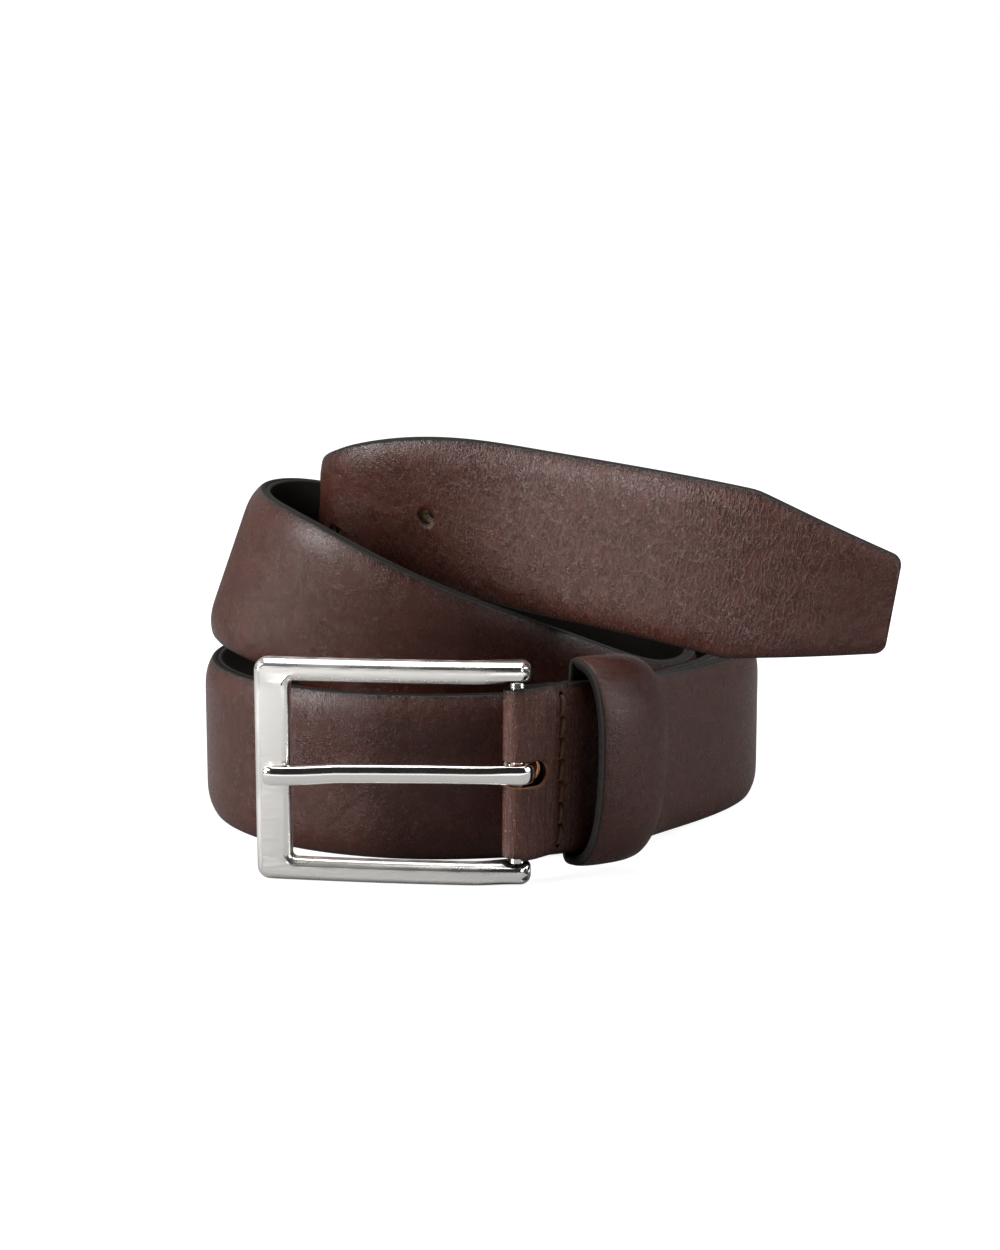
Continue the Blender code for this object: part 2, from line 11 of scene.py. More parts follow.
import bmesh
import bpy
import numpy as np
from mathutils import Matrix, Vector


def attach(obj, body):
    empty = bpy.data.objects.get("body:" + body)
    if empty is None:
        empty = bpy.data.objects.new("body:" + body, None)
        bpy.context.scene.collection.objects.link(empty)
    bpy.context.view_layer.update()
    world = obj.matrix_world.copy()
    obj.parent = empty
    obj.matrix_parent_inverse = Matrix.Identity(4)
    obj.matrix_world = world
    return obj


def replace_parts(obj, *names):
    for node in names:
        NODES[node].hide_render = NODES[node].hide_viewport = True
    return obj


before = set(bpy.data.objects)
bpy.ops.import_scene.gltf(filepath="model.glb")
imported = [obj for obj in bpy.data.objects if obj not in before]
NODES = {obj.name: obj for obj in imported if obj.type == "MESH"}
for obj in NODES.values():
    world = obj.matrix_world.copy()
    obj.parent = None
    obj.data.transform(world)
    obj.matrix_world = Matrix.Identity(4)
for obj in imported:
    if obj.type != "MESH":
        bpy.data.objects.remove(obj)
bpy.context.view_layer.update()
MM = 0.001
print("fixed nodes:", sorted(NODES))

# %% [markdown]
# ## The line that the strap follows
# The strap's centre line is the same as in the solid model: given points, a smooth cubic through
# them, and at each point a direction out of the strap's face and one up its width. The upper
# edge leans in x and y where a turn climbs over the one below it.

# %% The route and its smooth curve
ROUTE = (
    (3.5, -1.5, 22.75, 0, 0),
    (19, 7, 22.3, 0, 0),
    (34.5, 32, 19.2, 0, 0),
    (51, 58, 17.7, 0, 0),
    (58.5, 78, 17.55, 0, 0),
    (50, 106, 17.55, 0, 0),
    (26, 124, 17.55, 0, 0),
    (0, 129, 17.55, 0, 0),
    (-35, 119, 17.55, 0, 0),
    (-60.5, 91, 17.55, 0, 0),
    (-65, 62, 17.55, 0, 0),
    (-56, 38.5, 17.55, 0, 0),
    (-42.3, 25, 17.55, 0, 0),
    (-28.6, 18.6, 17.55, 0, 0),
    (-12.5, 16.2, 17.55, 0, 0),
    (-1, 17.3, 17.55, 0, 0),
    (14, 21.5, 17.55, 0, 0),
    (26.5, 33, 17.55, 0, 0),
    (42.3, 52.2, 17.6, 0, 0),
    (51.4, 74, 17.6, 0, 0),
    (45.5, 98.5, 18.2, 0.05, 0),
    (24, 116, 22, 0.15, 0),
    (0, 121, 32, 0.28, 0),
    (-25, 114, 44, 0.33, 0),
    (-44.5, 97.5, 54.3, 0.34, 0),
    (-58, 76, 57.5, 0.36, 0),
    (-55.5, 49, 56.1, 0.34, -0.1),
    (-44.5, 35, 52.7, 0.3, -0.22),
    (-25.5, 26.5, 44, 0.28, -0.25),
    (-5.8, 28, 35.3, 0.26, -0.2),
    (14, 37.5, 26.4, 0.22, -0.2),
    (32.3, 53, 18.8, 0.12, -0.25),
    (43, 73, 17.8, 0.08, -0.12),
    (36.2, 94, 19.8, 0.12, 0),
    (16, 107, 29, 0.22, 0),
    (-8, 111, 43, 0.33, 0),
    (-28.5, 100.5, 48.5, 0.33, 0),
    (-41.4, 84, 53.6, 0.3, -0.05),
    (-38.4, 66.5, 61.5, 0.28, -0.16),
    (-20, 53.5, 68.3, 0.13, -0.38),
    (2, 41, 67.1, 0.05, -0.06),
    (21, 26, 65, 0.03, 0),
    (41, 12, 62.4, 0, 0),
    (60, 5, 59, 0, 0),
    (78, 1, 56, 0, 0),
)
ROUTE_SAMPLES = 4000
COIL_MIDDLE = np.array((6.13, 62.84, 0.0)) * MM


def natural_spline(knots, values, at):
    """A smooth cubic through the values, straight at both ends."""
    gaps = np.diff(knots)
    slopes = np.diff(values, axis=0) / gaps[:, None]
    system = np.eye(len(knots))
    wanted = np.zeros_like(values)
    for i in range(1, len(knots) - 1):
        system[i, i - 1 : i + 2] = gaps[i - 1], 2 * (gaps[i - 1] + gaps[i]), gaps[i]
        wanted[i] = 6 * (slopes[i] - slopes[i - 1])
    bends = np.linalg.solve(system, wanted)
    i = np.clip(np.searchsorted(knots, at, side="right") - 1, 0, len(gaps) - 1)
    t = (at - knots[i])[:, None]
    gap = gaps[i][:, None]
    start = slopes[i] - gap * (2 * bends[i] + bends[i + 1]) / 6
    return values[i] + start * t + bends[i] / 2 * t**2 + (bends[i + 1] - bends[i]) / (6 * gap) * t**3


def unit(rows):
    return rows / np.linalg.norm(rows, axis=1)[:, None]


def distance_along(points):
    return np.concatenate([[0.0], np.cumsum(np.linalg.norm(np.diff(points, axis=0), axis=1))])


def strap_line():
    """Distance, centre, outward direction and upward direction at close steps along the strap."""
    route = np.array(ROUTE, float)
    route[:, :3] *= MM
    knots = distance_along(route[:, :3])
    fine = natural_spline(knots, route, np.linspace(0.0, knots[-1], ROUTE_SAMPLES))
    centre = fine[:, :3]
    along = distance_along(centre)
    forward = unit(np.gradient(centre, along, axis=0))
    lean = np.column_stack([fine[:, 3:], np.ones(len(fine))])
    up = unit(lean - (lean * forward).sum(axis=1)[:, None] * forward)
    out = np.cross(forward, up)
    return along, centre, out, up


ALONG, CENTRE, OUT, UP = strap_line()
STRAP_LENGTH = ALONG[-1]
START_FORWARD = unit(np.diff(CENTRE[:2], axis=0))[0]
print(f"strap length {STRAP_LENGTH:.3f} m")

# %% [markdown]
# ## From the flat strap to the coil
# `place` takes arrays: s along the strap, n out of its middle surface, w up its width. Everything
# that lies on the strap goes through it, so a stitch hole punched in the flat leather and the thread
# that fills it meet again on the coil.


# %% Carrying flat points onto the coil
def place(s, n, w):
    """Points of the coil for arrays of strap coordinates."""
    s, n, w = (np.asarray(values, float).reshape(-1, 1) for values in (s, n, w))
    flat = s[:, 0]
    centre, out, up = (
        np.column_stack([np.interp(flat, ALONG, table[:, k]) for k in range(3)])
        for table in (CENTRE, OUT, UP)
    )
    before_bar = np.minimum(s, 0.0)
    return centre + START_FORWARD * before_bar + unit(out) * n + unit(up) * w - COIL_MIDDLE


def vertex_array(mesh):
    points = np.empty(len(mesh.vertices) * 3, np.float32)
    mesh.vertices.foreach_get("co", points)
    return points.reshape(-1, 3).astype(float)


def move_vertices(mesh, points):
    mesh.vertices.foreach_set("co", points.astype(np.float32).ravel())
    mesh.update()


HEEL_BAR = Vector(place(0.0, 0.0, 0.0)[0])
print("heel bar axis at", tuple(round(v, 4) for v in HEEL_BAR))


def smooth_step(value, start, end):
    t = np.clip((np.asarray(value, float) - start) / (end - start), 0.0, 1.0)
    return t * t * (3 - 2 * t)


# %% [markdown]
# ## Small helpers for materials
# Every finish is built from nodes. Patterns shared by several finishes are node groups with named
# inputs and outputs, so each finish can use the same grain with its own values.


# %% Node helpers
def new_material(name):
    made = bpy.data.materials.new(name)
    made.use_nodes = True
    tree = made.node_tree
    return made, tree, tree.nodes["Principled BSDF"]


def set_inputs(tree, made, inputs):
    """Links each input of a node to a socket, or sets it where the value is a plain one."""
    for name, value in inputs.items():
        if isinstance(value, bpy.types.NodeSocket):
            tree.links.new(value, made.inputs[name])
        else:
            made.inputs[name].default_value = value


def node(tree, kind, settings=None, inputs=None):
    made = tree.nodes.new(kind)
    for name, value in (settings or {}).items():
        setattr(made, name, value)
    set_inputs(tree, made, inputs or {})
    return made


def math_node(tree, operation, first, second=0.0, clamp=False):
    settings = {"operation": operation, "use_clamp": clamp}
    return node(tree, "ShaderNodeMath", settings, {0: first, 1: second}).outputs[0]


def times(tree, first, second):
    return math_node(tree, "MULTIPLY", first, second)


def map_range(tree, value, low, high, to_low=0.0, to_high=1.0):
    settings = {"interpolation_type": "SMOOTHSTEP"}
    inputs = {"Value": value, "From Min": low, "From Max": high, "To Min": to_low, "To Max": to_high}
    return node(tree, "ShaderNodeMapRange", settings, inputs).outputs[0]


def mix_colour(tree, factor, first, second):
    inputs = {0: factor, 6: first, 7: second}  # where this node keeps its factor and two colours
    return node(tree, "ShaderNodeMix", {"data_type": "RGBA"}, inputs).outputs[2]


def noise(tree, vector, scale, detail=3.0, roughness=0.55, output="Fac"):
    inputs = {"Vector": vector, "Scale": scale, "Detail": detail, "Roughness": roughness}
    return node(tree, "ShaderNodeTexNoise", None, inputs).outputs[output]


def bump(tree, height, distance, strength=1.0):
    inputs = {"Height": height, "Distance": distance, "Strength": strength}
    return node(tree, "ShaderNodeBump", None, inputs).outputs["Normal"]


def new_group(name, ins, outs):
    group = bpy.data.node_groups.new(name, "ShaderNodeTree")
    for socket, kind, default in ins:
        made = group.interface.new_socket(socket, in_out="INPUT", socket_type=kind)
        if default is not None:
            made.default_value = default
    for socket, kind in outs:
        group.interface.new_socket(socket, in_out="OUTPUT", socket_type=kind)
    return group, group.nodes.new("NodeGroupInput").outputs, group.nodes.new("NodeGroupOutput").inputs


def use_group(tree, group, inputs):
    return node(tree, "ShaderNodeGroup", {"node_tree": group}, inputs).outputs


# %% [markdown]
# ## The grain of the leather
# Calf leather shows three things at once: tiny pores, a shallow pebble of cells under a millimetre
# across, and creases where it has been bent. The creases run across the strap, because a strap is
# only ever bent along its length, so their cells are stretched up the width and their edges are
# pushed about by noise. The pattern reads the leather's own flat map in millimetres and so follows
# the strap round the coil.


# %% The grain group
# Cells to a millimetre along the strap, how far they are stretched across it, their turn in radians
# and the width of their lines.
LONG_CREASES = (0.85, 0.36, 0.05, 0.085)
FINE_CREASES = (1.75, 0.62, -0.25, 0.12)
FINE_SHARE = 0.6
PEBBLE_CELLS = 2.8
PEBBLE_HEIGHT = 0.34
PORE_HEIGHT = 0.42
DIP_DEPTH = 0.55


def cell_gap(group, vector, scale=1.0):
    """Distance to the nearest edge between the cells of a flat pattern."""
    settings = {"feature": "DISTANCE_TO_EDGE", "voronoi_dimensions": "2D"}
    return node(group, "ShaderNodeTexVoronoi", settings, {"Vector": vector, "Scale": scale}).outputs[0]


def crease_cells(group, vector, scale, stretch, turn, width):
    """Thin lines between stretched cells: a mask, and the wider dip on either side of each line."""
    inputs = {"Vector": vector, "Scale": (scale, scale * stretch, 1.0), "Rotation": (0.0, 0.0, turn)}
    cells = node(group, "ShaderNodeMapping", None, inputs).outputs[0]
    gap = cell_gap(group, cells)
    return map_range(group, gap, 0.0, width, 1.0, 0.0), map_range(group, gap, 0.0, 0.3, 1.0, 0.0)


def vector_math(tree, operation, inputs):
    return node(tree, "ShaderNodeVectorMath", {"operation": operation}, inputs).outputs[0]


def pushed_about(group, vector, scale, reach):
    """The same vector, moved by up to half of reach in a direction that wanders from place to place."""
    drift = noise(group, vector, scale, 3.0, 0.6, "Color")
    centred = vector_math(group, "SUBTRACT", {0: drift, 1: (0.5, 0.5, 0.5)})
    wander = vector_math(group, "SCALE", {0: centred, "Scale": reach})
    return vector_math(group, "ADD", {0: vector, 1: wander})


def grain_group():
    ins = (("Flat Map", "NodeSocketVector", None), ("Crease", "NodeSocketFloat", 1.0))
    outs = (("Height", "NodeSocketFloat"), ("Crease Line", "NodeSocketFloat"), ("Mottle", "NodeSocketFloat"))
    group, given, result = new_group("leather_grain", ins, outs)
    flat = vector_math(group, "SCALE", {0: given["Flat Map"], "Scale": 1000.0})
    bent = pushed_about(group, pushed_about(group, flat, 0.22, 2.2), 1.6, 0.50)

    long_line, long_dip = crease_cells(group, bent, *LONG_CREASES)
    fine_line, fine_dip = crease_cells(group, bent, *FINE_CREASES)
    broken = map_range(group, noise(group, flat, 0.55, 3.0, 0.6), 0.38, 0.62)
    patchy = map_range(group, noise(group, flat, 0.21, 2.0), 0.38, 0.62)
    fine_line = times(group, fine_line, patchy)
    long_line = times(group, long_line, broken)
    both = math_node(group, "MAXIMUM", long_line, times(group, fine_line, FINE_SHARE))
    line = math_node(group, "MULTIPLY", both, given["Crease"], clamp=True)

    pebble = times(group, map_range(group, cell_gap(group, bent, PEBBLE_CELLS), 0.0, 0.3), PEBBLE_HEIGHT)
    pores = times(group, noise(group, flat, 3.2, 3.0, 0.65), PORE_HEIGHT)
    height = math_node(group, "ADD", pebble, pores)
    dips = math_node(group, "ADD", long_dip, times(group, fine_dip, 0.5))
    dips = times(group, dips, given["Crease"])
    height = math_node(group, "SUBTRACT", height, times(group, dips, DIP_DEPTH))
    mottle = noise(group, flat, 0.16, 4.0, 0.6)
    for name, value in (("Height", height), ("Crease Line", line), ("Mottle", mottle)):
        group.links.new(value, result[name])
    return group


GRAIN = grain_group()

# %% [markdown]
# ## The brown leather
# The strap is dyed a dark chocolate brown and lightly waxed, so it has a soft, wide highlight. The
# stretch near the free end has been pulled through a buckle many times: its creases are deeper, and
# their lines are painted lighter, a painted highlight where the creases catch the light. Where the
# leather is folded round the heel bar it is stretched instead, with fine streaks along the fold and
# pale specks of lifted finish, and the whole fold is painted a lighter brown, painted light on the
# bulge round the bar. How strongly each effect shows is a curve along the strap, read from the flat map.

# %% Brown leather
LEATHER_BROWN = (0.034, 0.0100, 0.0064, 1.0)
LEATHER_WARM = (0.043, 0.0125, 0.0078, 1.0)
# Painted highlight: the lighter colour of the crease lines.
CREASE_HIGHLIGHT = (0.190, 0.082, 0.066, 1.0)
# Painted light: the lighter brown of the fold round the heel bar.
FOLD_PAINTED_LIGHT = (0.075, 0.028, 0.020, 1.0)
SPECK_LIGHT = (0.240, 0.150, 0.120, 1.0)
STREAK_DARK = (0.016, 0.007, 0.006, 1.0)
EDGE_DARK = (0.012, 0.008, 0.007, 1.0)
LEATHER_ROUGHNESS = 0.21
LEATHER_SHINE = 0.27
LEATHER_GRAIN_DEPTH = 0.10 * MM
CREASED_FROM_TIP = (0.150, 0.085)
SMOOTH_FROM_TIP = (0.024, 0.004)
FOLD_CENTRE = 0.004
FOLD_REACH = (0.007, 0.011)


def crease_along(tree, distance):
    """Strong creases near the free end, faint ones on the rest of the strap."""
    starts, full = (STRAP_LENGTH - back for back in CREASED_FROM_TIP)
    fades, ends = (STRAP_LENGTH - back for back in SMOOTH_FROM_TIP)
    worn = map_range(tree, distance, starts, full)
    tip = map_range(tree, distance, fades, ends, 1.0, 0.3)
    strength = times(tree, worn, tip)
    return math_node(tree, "ADD", times(tree, strength, 0.92), 0.05)


def stretched_at_fold(tree, flat, distance):
    """Masks for the dark streaks and pale specks of the leather round the heel bar, and for the fold, whose
    lighter brown is painted light.
    """
    offset = math_node(tree, "ABSOLUTE", math_node(tree, "SUBTRACT", distance, FOLD_CENTRE))
    near = map_range(tree, offset, *FOLD_REACH, 1.0, 0.0)
    drawn = node(tree, "ShaderNodeMapping", None, {"Vector": flat, "Scale": (1700.0, 110.0, 1.0)}).outputs[0]
    streak = map_range(tree, noise(tree, drawn, 1.0, 3.0, 0.6), 0.42, 0.70)
    dots = {"Vector": flat, "Scale": 1900.0}
    spots = node(tree, "ShaderNodeTexVoronoi", {"voronoi_dimensions": "2D"}, dots).outputs["Distance"]
    gate = map_range(tree, noise(tree, flat, 900.0, 2.0), 0.52, 0.60)
    specks = times(tree, map_range(tree, spots, 0.10, 0.24, 1.0, 0.0), gate)
    return times(tree, streak, near), times(tree, specks, near), near


def leather(name, on_strap=True):
    made, tree, shader = new_material(name)
    flat = node(tree, "ShaderNodeUVMap", {"uv_map": "flat"}).outputs[0]
    split = node(tree, "ShaderNodeSeparateXYZ", None, {0: flat}).outputs
    crease = crease_along(tree, split[0]) if on_strap else 0.03
    grain = use_group(tree, GRAIN, {"Flat Map": flat, "Crease": crease})
    base = mix_colour(tree, map_range(tree, grain["Mottle"], 0.35, 0.65), LEATHER_BROWN, LEATHER_WARM)
    # The crease lines are painted lighter: a painted highlight where the creases catch the light.
    base = mix_colour(tree, times(tree, grain["Crease Line"], 0.46), base, CREASE_HIGHLIGHT)
    height = grain["Height"]
    if on_strap:
        streak, specks, near = stretched_at_fold(tree, flat, split[0])
        # The fold round the heel bar is painted a lighter brown: painted light on its bulge.
        base = mix_colour(tree, times(tree, near, 0.95), base, FOLD_PAINTED_LIGHT)
        base = mix_colour(tree, times(tree, streak, 0.45), base, STREAK_DARK)
        base = mix_colour(tree, times(tree, specks, 0.75), base, SPECK_LIGHT)
        height = math_node(tree, "SUBTRACT", height, times(tree, streak, 0.8))
        side = math_node(tree, "ABSOLUTE", split[1])
        base = mix_colour(tree, map_range(tree, side, 15.8 * MM, 17.4 * MM, 0.0, 0.8), base, EDGE_DARK)
    rough = math_node(tree, "ADD", times(tree, grain["Mottle"], 0.12), LEATHER_ROUGHNESS)
    rough = math_node(tree, "ADD", rough, times(tree, grain["Crease Line"], 0.12))
    normal = bump(tree, height, LEATHER_GRAIN_DEPTH)
    set_inputs(tree, shader, {"Base Color": base, "Roughness": rough, "Normal": normal})
    shader.inputs["Specular IOR Level"].default_value = LEATHER_SHINE
    return made


BROWN_LEATHER = leather("brown_leather")
KEEPER_LEATHER = leather("keeper_leather", on_strap=False)


# %% [markdown]
# ## Edge paint, lining, raw leather, filler and thread
# Cut edges are sealed with a thick dark paint that dries to a soft shine. The lining is nearly black
# and matt. Where the leather is punched after painting, as in the prong's slot, the wall of the cut
# shows the undyed tan fibres.


# %% The other soft finishes
SOFT_SHINE = 0.12


def plain_finish(name, low, high, roughness, scale, height):
    """A finish that varies between two colours with a fine, slightly uneven surface."""
    made, tree, shader = new_material(name)
    where = node(tree, "ShaderNodeTexCoord").outputs["Object"]
    grain = noise(tree, where, scale, 4.0, 0.65)
    base = mix_colour(tree, map_range(tree, grain, 0.3, 0.7), low, high)
    rough = map_range(tree, grain, 0.2, 0.8, roughness - 0.06, roughness + 0.06)
    set_inputs(tree, shader, {"Base Color": base, "Roughness": rough, "Normal": bump(tree, grain, height)})
    shader.inputs["Specular IOR Level"].default_value = SOFT_SHINE
    return made


# Name, darkest and lightest colour, roughness, pattern scale and height of the unevenness.
SOFT_FINISHES = (
    ("edge_paint", (0.006, 0.0055, 0.005, 1), (0.012, 0.011, 0.010, 1), 0.58, 1600, 0.03 * MM),
    ("dark_lining", (0.007, 0.0055, 0.005, 1), (0.014, 0.0105, 0.009, 1), 0.66, 2600, 0.05 * MM),
    ("raw_tan_fibre", (0.16, 0.055, 0.022, 1), (0.58, 0.29, 0.16, 1), 0.85, 4200, 0.25 * MM),
    ("punched_wall", (0.035, 0.025, 0.015, 1), (0.11, 0.085, 0.055, 1), 0.8, 3000, 0.15 * MM),
    ("leatherboard", (0.16, 0.09, 0.05, 1), (0.26, 0.16, 0.09, 1), 0.85, 1800, 0.08 * MM),
    ("brown_thread", (0.055, 0.024, 0.013, 1), (0.13, 0.062, 0.036, 1), 0.6, 5200, 0.06 * MM),
)
EDGE_PAINT, LINING, RAW_TAN, HOLE_WALL, FILLER, THREAD = (plain_finish(*row) for row in SOFT_FINISHES)

# %% [markdown]
# ## Nickel plate
# The frame is satin finished: fine scratches from a belt run along it, and the polished, rounded
# edges catch the light. The prong is polished all over. Both are the same warm, slightly yellow
# nickel; only the roughness and the scratches differ.


# %% Nickel finishes
NICKEL_DULL = (0.88, 0.855, 0.82, 1)
NICKEL_BRIGHT = (0.93, 0.91, 0.88, 1)
RUBBED_BEFORE_BAR = (9 * MM, 2 * MM)


def nickel(name, satin, polished, streaks, scratch_height):
    """Nickel plate, satin along the frame and polished towards the arms' ends beside the heel bar."""
    made, tree, shader = new_material(name)
    where = node(tree, "ShaderNodeTexCoord").outputs["Object"]
    drawn = node(tree, "ShaderNodeMapping", None, {"Vector": where, "Scale": streaks}).outputs[0]
    scratches = noise(tree, drawn, 1.0, 1.0, 0.5)
    clouds = noise(tree, where, 90.0, 2.0)
    base = mix_colour(tree, clouds, NICKEL_DULL, NICKEL_BRIGHT)
    along = node(tree, "ShaderNodeSeparateXYZ", None, {0: where}).outputs[0]
    starts, full = (HEEL_BAR.x - back for back in RUBBED_BEFORE_BAR)
    worn = map_range(tree, along, starts, full, satin, polished)
    rough = times(tree, worn, map_range(tree, scratches, 0.25, 0.75, 0.8, 1.25))
    normal = bump(tree, scratches, scratch_height)
    set_inputs(tree, shader, {"Base Color": base, "Metallic": 1.0, "Roughness": rough, "Normal": normal})
    return made


BRUSHED = nickel("brushed_nickel", 0.36, 0.17, (300.0, 300.0, 3500.0), 0.0006 * MM)
POLISHED_EDGE = nickel("polished_edge", 0.27, 0.15, (90.0, 90.0, 90.0), 0.0002 * MM)
POLISHED = nickel("polished_nickel", 0.11, 0.07, (200.0, 500.0, 500.0), 0.0004 * MM)

# %% [markdown]
# ## Small helpers for meshes
# Flat pieces are drawn as faces and pushed out to a thickness. Round ones, the thread and the
# prong, are a capped ring that is pushed out again and again and reshaped at each step.


# %% Mesh helpers
def wearing(name, bm, *finishes):
    """Ends a bmesh and gives it back as an object in the scene, wearing the finishes."""
    mesh = bpy.data.meshes.new(name)
    bm.to_mesh(mesh)
    bm.free()
    for finish in finishes:
        mesh.materials.append(finish)
    made = bpy.data.objects.new(name, mesh)
    bpy.context.scene.collection.objects.link(made)
    return made


def smooth_all(bm):
    for face in bm.faces:
        face.smooth = True


def push_out(bm, distance):
    """Pushes every face out along y, which gives a flat sheet its thickness."""
    pushed = bmesh.ops.extrude_face_region(bm, geom=list(bm.faces))
    lifted = [item for item in pushed["geom"] if isinstance(item, bmesh.types.BMVert)]
    bmesh.ops.translate(bm, vec=(0.0, distance, 0.0), verts=lifted)
    bmesh.ops.recalc_face_normals(bm, faces=bm.faces)


def push_ring(bm, count, steps):
    """Pushes a capped ring of count points through steps, which gives each step's points in order.
    The cap's edges are pushed with it, because otherwise the old cap stays behind as an inner face."""
    ring = bmesh.ops.create_circle(bm, cap_ends=True, segments=count, radius=1.0)["verts"]
    cap = next(face for face in bm.faces if all(vert in ring for vert in face.verts))
    turns = {vert: math.atan2(vert.co.y, vert.co.x) for vert in ring}
    place_in_ring = {vert: round(turn * count / math.tau) % count for vert, turn in turns.items()}
    for number, points in enumerate(steps):
        if number:
            was_at = {tuple(vert.co): k for vert, k in place_in_ring.items()}
            pushed = bmesh.ops.extrude_face_region(bm, geom=[cap, *cap.edges])["geom"]
            cap = next(item for item in pushed if isinstance(item, bmesh.types.BMFace))
            place_in_ring = {vert: was_at[tuple(vert.co)] for vert in cap.verts}
        for vert, k in place_in_ring.items():
            vert.co = points[k]


# %% [markdown]
# ## Sheets of leather
# A flat sheet is a grid, pushed out once to give it thickness, with its outer rim bevelled so that
# it catches light like a worn edge. The grid's columns are closer near the long edges, where the
# strap rolls over, and its rows are closer where the strap is bent tightly.


# %% Flat sheets and how they are finished
ROUNDED = {"offset_type": "OFFSET", "affect": "EDGES", "profile": 0.5, "material": -1}


def flat_sheet(name, rows, columns, thickness, rim, rim_side, materials):
    """A sheet with x at the given rows, z at the given columns and y from 0 to its thickness.
    rim_side picks the face whose outline is rounded: 1 for the outer face, -1 for the back."""
    bm = bmesh.new()
    bmesh.ops.create_grid(bm, x_segments=len(rows) - 1, y_segments=len(columns) - 1, size=1.0)
    for vert in bm.verts:
        row = round((vert.co.x + 1) / 2 * (len(rows) - 1))
        column = round((vert.co.y + 1) / 2 * (len(columns) - 1))
        vert.co = (rows[row], 0.0, columns[column])
    push_out(bm, thickness)
    level = thickness if rim_side > 0 else 0.0

    def on_rim(edge):
        flat = all(abs(v.co.y - level) < 1e-7 for v in edge.verts)
        return flat and edge.calc_face_angle(0.0) > 1.0

    outline = [edge for edge in bm.edges if on_rim(edge)]
    bmesh.ops.bevel(bm, geom=outline, offset=rim, segments=3, **ROUNDED)
    smooth_all(bm)
    for face in bm.faces:
        face.material_index = 1 if abs(face.normal.y) < 0.82 else (0 if face.normal.y * rim_side > 0 else 2)
    return wearing(name, bm, *materials)


def cut_with(target, cutters):
    """Cuts shapes out of a flat sheet; the walls of each cut take the cutter's own finish."""
    for cutter in cutters:
        cut = target.modifiers.new(cutter.name, "BOOLEAN")
        cut.operation = "DIFFERENCE"
        cut.solver = "EXACT"
        cut.material_mode = "TRANSFER"
        cut.object = cutter
    graph = bpy.context.evaluated_depsgraph_get()
    finished = bpy.data.meshes.new_from_object(target.evaluated_get(graph), depsgraph=graph)
    target.modifiers.clear()
    target.data = finished
    for cutter in cutters:
        bpy.data.objects.remove(cutter, do_unlink=True)


def map_flat(mesh, shift=0.0):
    """Stores where each point lay in the flat leather as the UV map 'flat', in metres."""
    layer = mesh.uv_layers.new(name="flat")
    points = vertex_array(mesh)
    corners = np.empty(len(mesh.loops), np.int32)
    mesh.loops.foreach_get("vertex_index", corners)
    flat = points[corners][:, [0, 2]] + (shift, 0.0)
    layer.data.foreach_set("uv", flat.astype(np.float32).ravel())


def outline_cutter(name, points, finish, low=-3 * MM, high=6 * MM):
    """A straight punch through the sheet with the outline of the given (x, z) points."""
    bm = bmesh.new()
    bm.faces.new([bm.verts.new((x, low, z)) for x, z in points])
    push_out(bm, high - low)
    return wearing(name, bm, finish)


def circle_points(x, z, radius, count=24, squash=1.0):
    turns = [2 * math.pi * k / count for k in range(count)]
    return [(x + radius * squash * math.cos(t), z + radius * math.sin(t)) for t in turns]


# %% [markdown]
# ## Sizes of the strap
# The same sizes as the solid model, in metres. The strap is 35 mm wide and 4 mm thick over its
# filler, thins to about 3 mm at its edges, and tapers to a blunt end.

# %% Strap sizes
STRAP_HALF_WIDTH = 17.5 * MM
FACE_HEIGHT = 2.0 * MM
GRAIN_THICKNESS = 1.2 * MM
EDGE_DROP = 1.75 * MM
ROLL_STARTS = 10.0 * MM
LINING_BACK = -2.0 * MM
LINING_THICKNESS = 0.97 * MM
TAPER_LENGTH = 31.0 * MM
TIP_HALF_WIDTH = 9.7 * MM
TIP_CORNER = 1.9 * MM
FIRST_HOLE_FROM_TIP = 108.2 * MM
HOLE_SPACING = 25.0 * MM
HOLE_COUNT = 5
HOLE_RADIUS = 1.9 * MM
BAR_RADIUS = 1.5 * MM
RUNNING_GAP = 0.3 * MM
FOLD_RADIUS = BAR_RADIUS + RUNNING_GAP + GRAIN_THICKNESS / 2
RETURN_LENGTH = 37.0 * MM
RETURN_HEIGHT = -2.7 * MM
RETURN_OVER_KEEPER = -4.05 * MM
RETURN_HALF_WIDTH = 17.1 * MM
PLIES_MEET = 9.5 * MM
LINING_STARTS = 6.5 * MM
KEEPER_FROM = 12.7 * MM
KEEPER_TO = 27.5 * MM
STITCH_ROWS = {"bar_row": 8.8 * MM, "keeper_row": 32.0 * MM}
STITCH_HOLES = 8
STITCH_PITCH = 4.4 * MM
STITCH_PLACES = [(k - (STITCH_HOLES - 1) / 2) * STITCH_PITCH for k in range(STITCH_HOLES)]
STITCH_HOLE_RADIUS = 0.62 * MM
SLOT_RADIUS = 2.65 * MM
SLOT_PAST_BAR = 5.9 * MM
GROOVE_DEPTH = 0.42 * MM
GROOVE_WIDTH = 0.95 * MM


def half_width(s):
    """Half of the strap's width, easing into the taper and round the blunt end's corners."""
    to_tip = np.maximum(STRAP_LENGTH - s, 0.0)
    past = (TAPER_LENGTH - to_tip) / TAPER_LENGTH
    ease = 0.03
    ramp = (past + np.sqrt(past**2 + ease**2)) / 2
    width = STRAP_HALF_WIDTH - (STRAP_HALF_WIDTH - TIP_HALF_WIDTH) * ramp
    inside = np.maximum(TIP_CORNER - to_tip, 0.0)
    return width - (TIP_CORNER - np.sqrt(np.maximum(TIP_CORNER**2 - inside**2, 0.0)))


def roll_over(w):
    """How far the face has dropped towards a thin edge at a place across the full width."""
    outside = np.clip((np.abs(w) - ROLL_STARTS) / (STRAP_HALF_WIDTH - ROLL_STARTS), 0.0, 1.0)
    return EDGE_DROP * outside**2.9


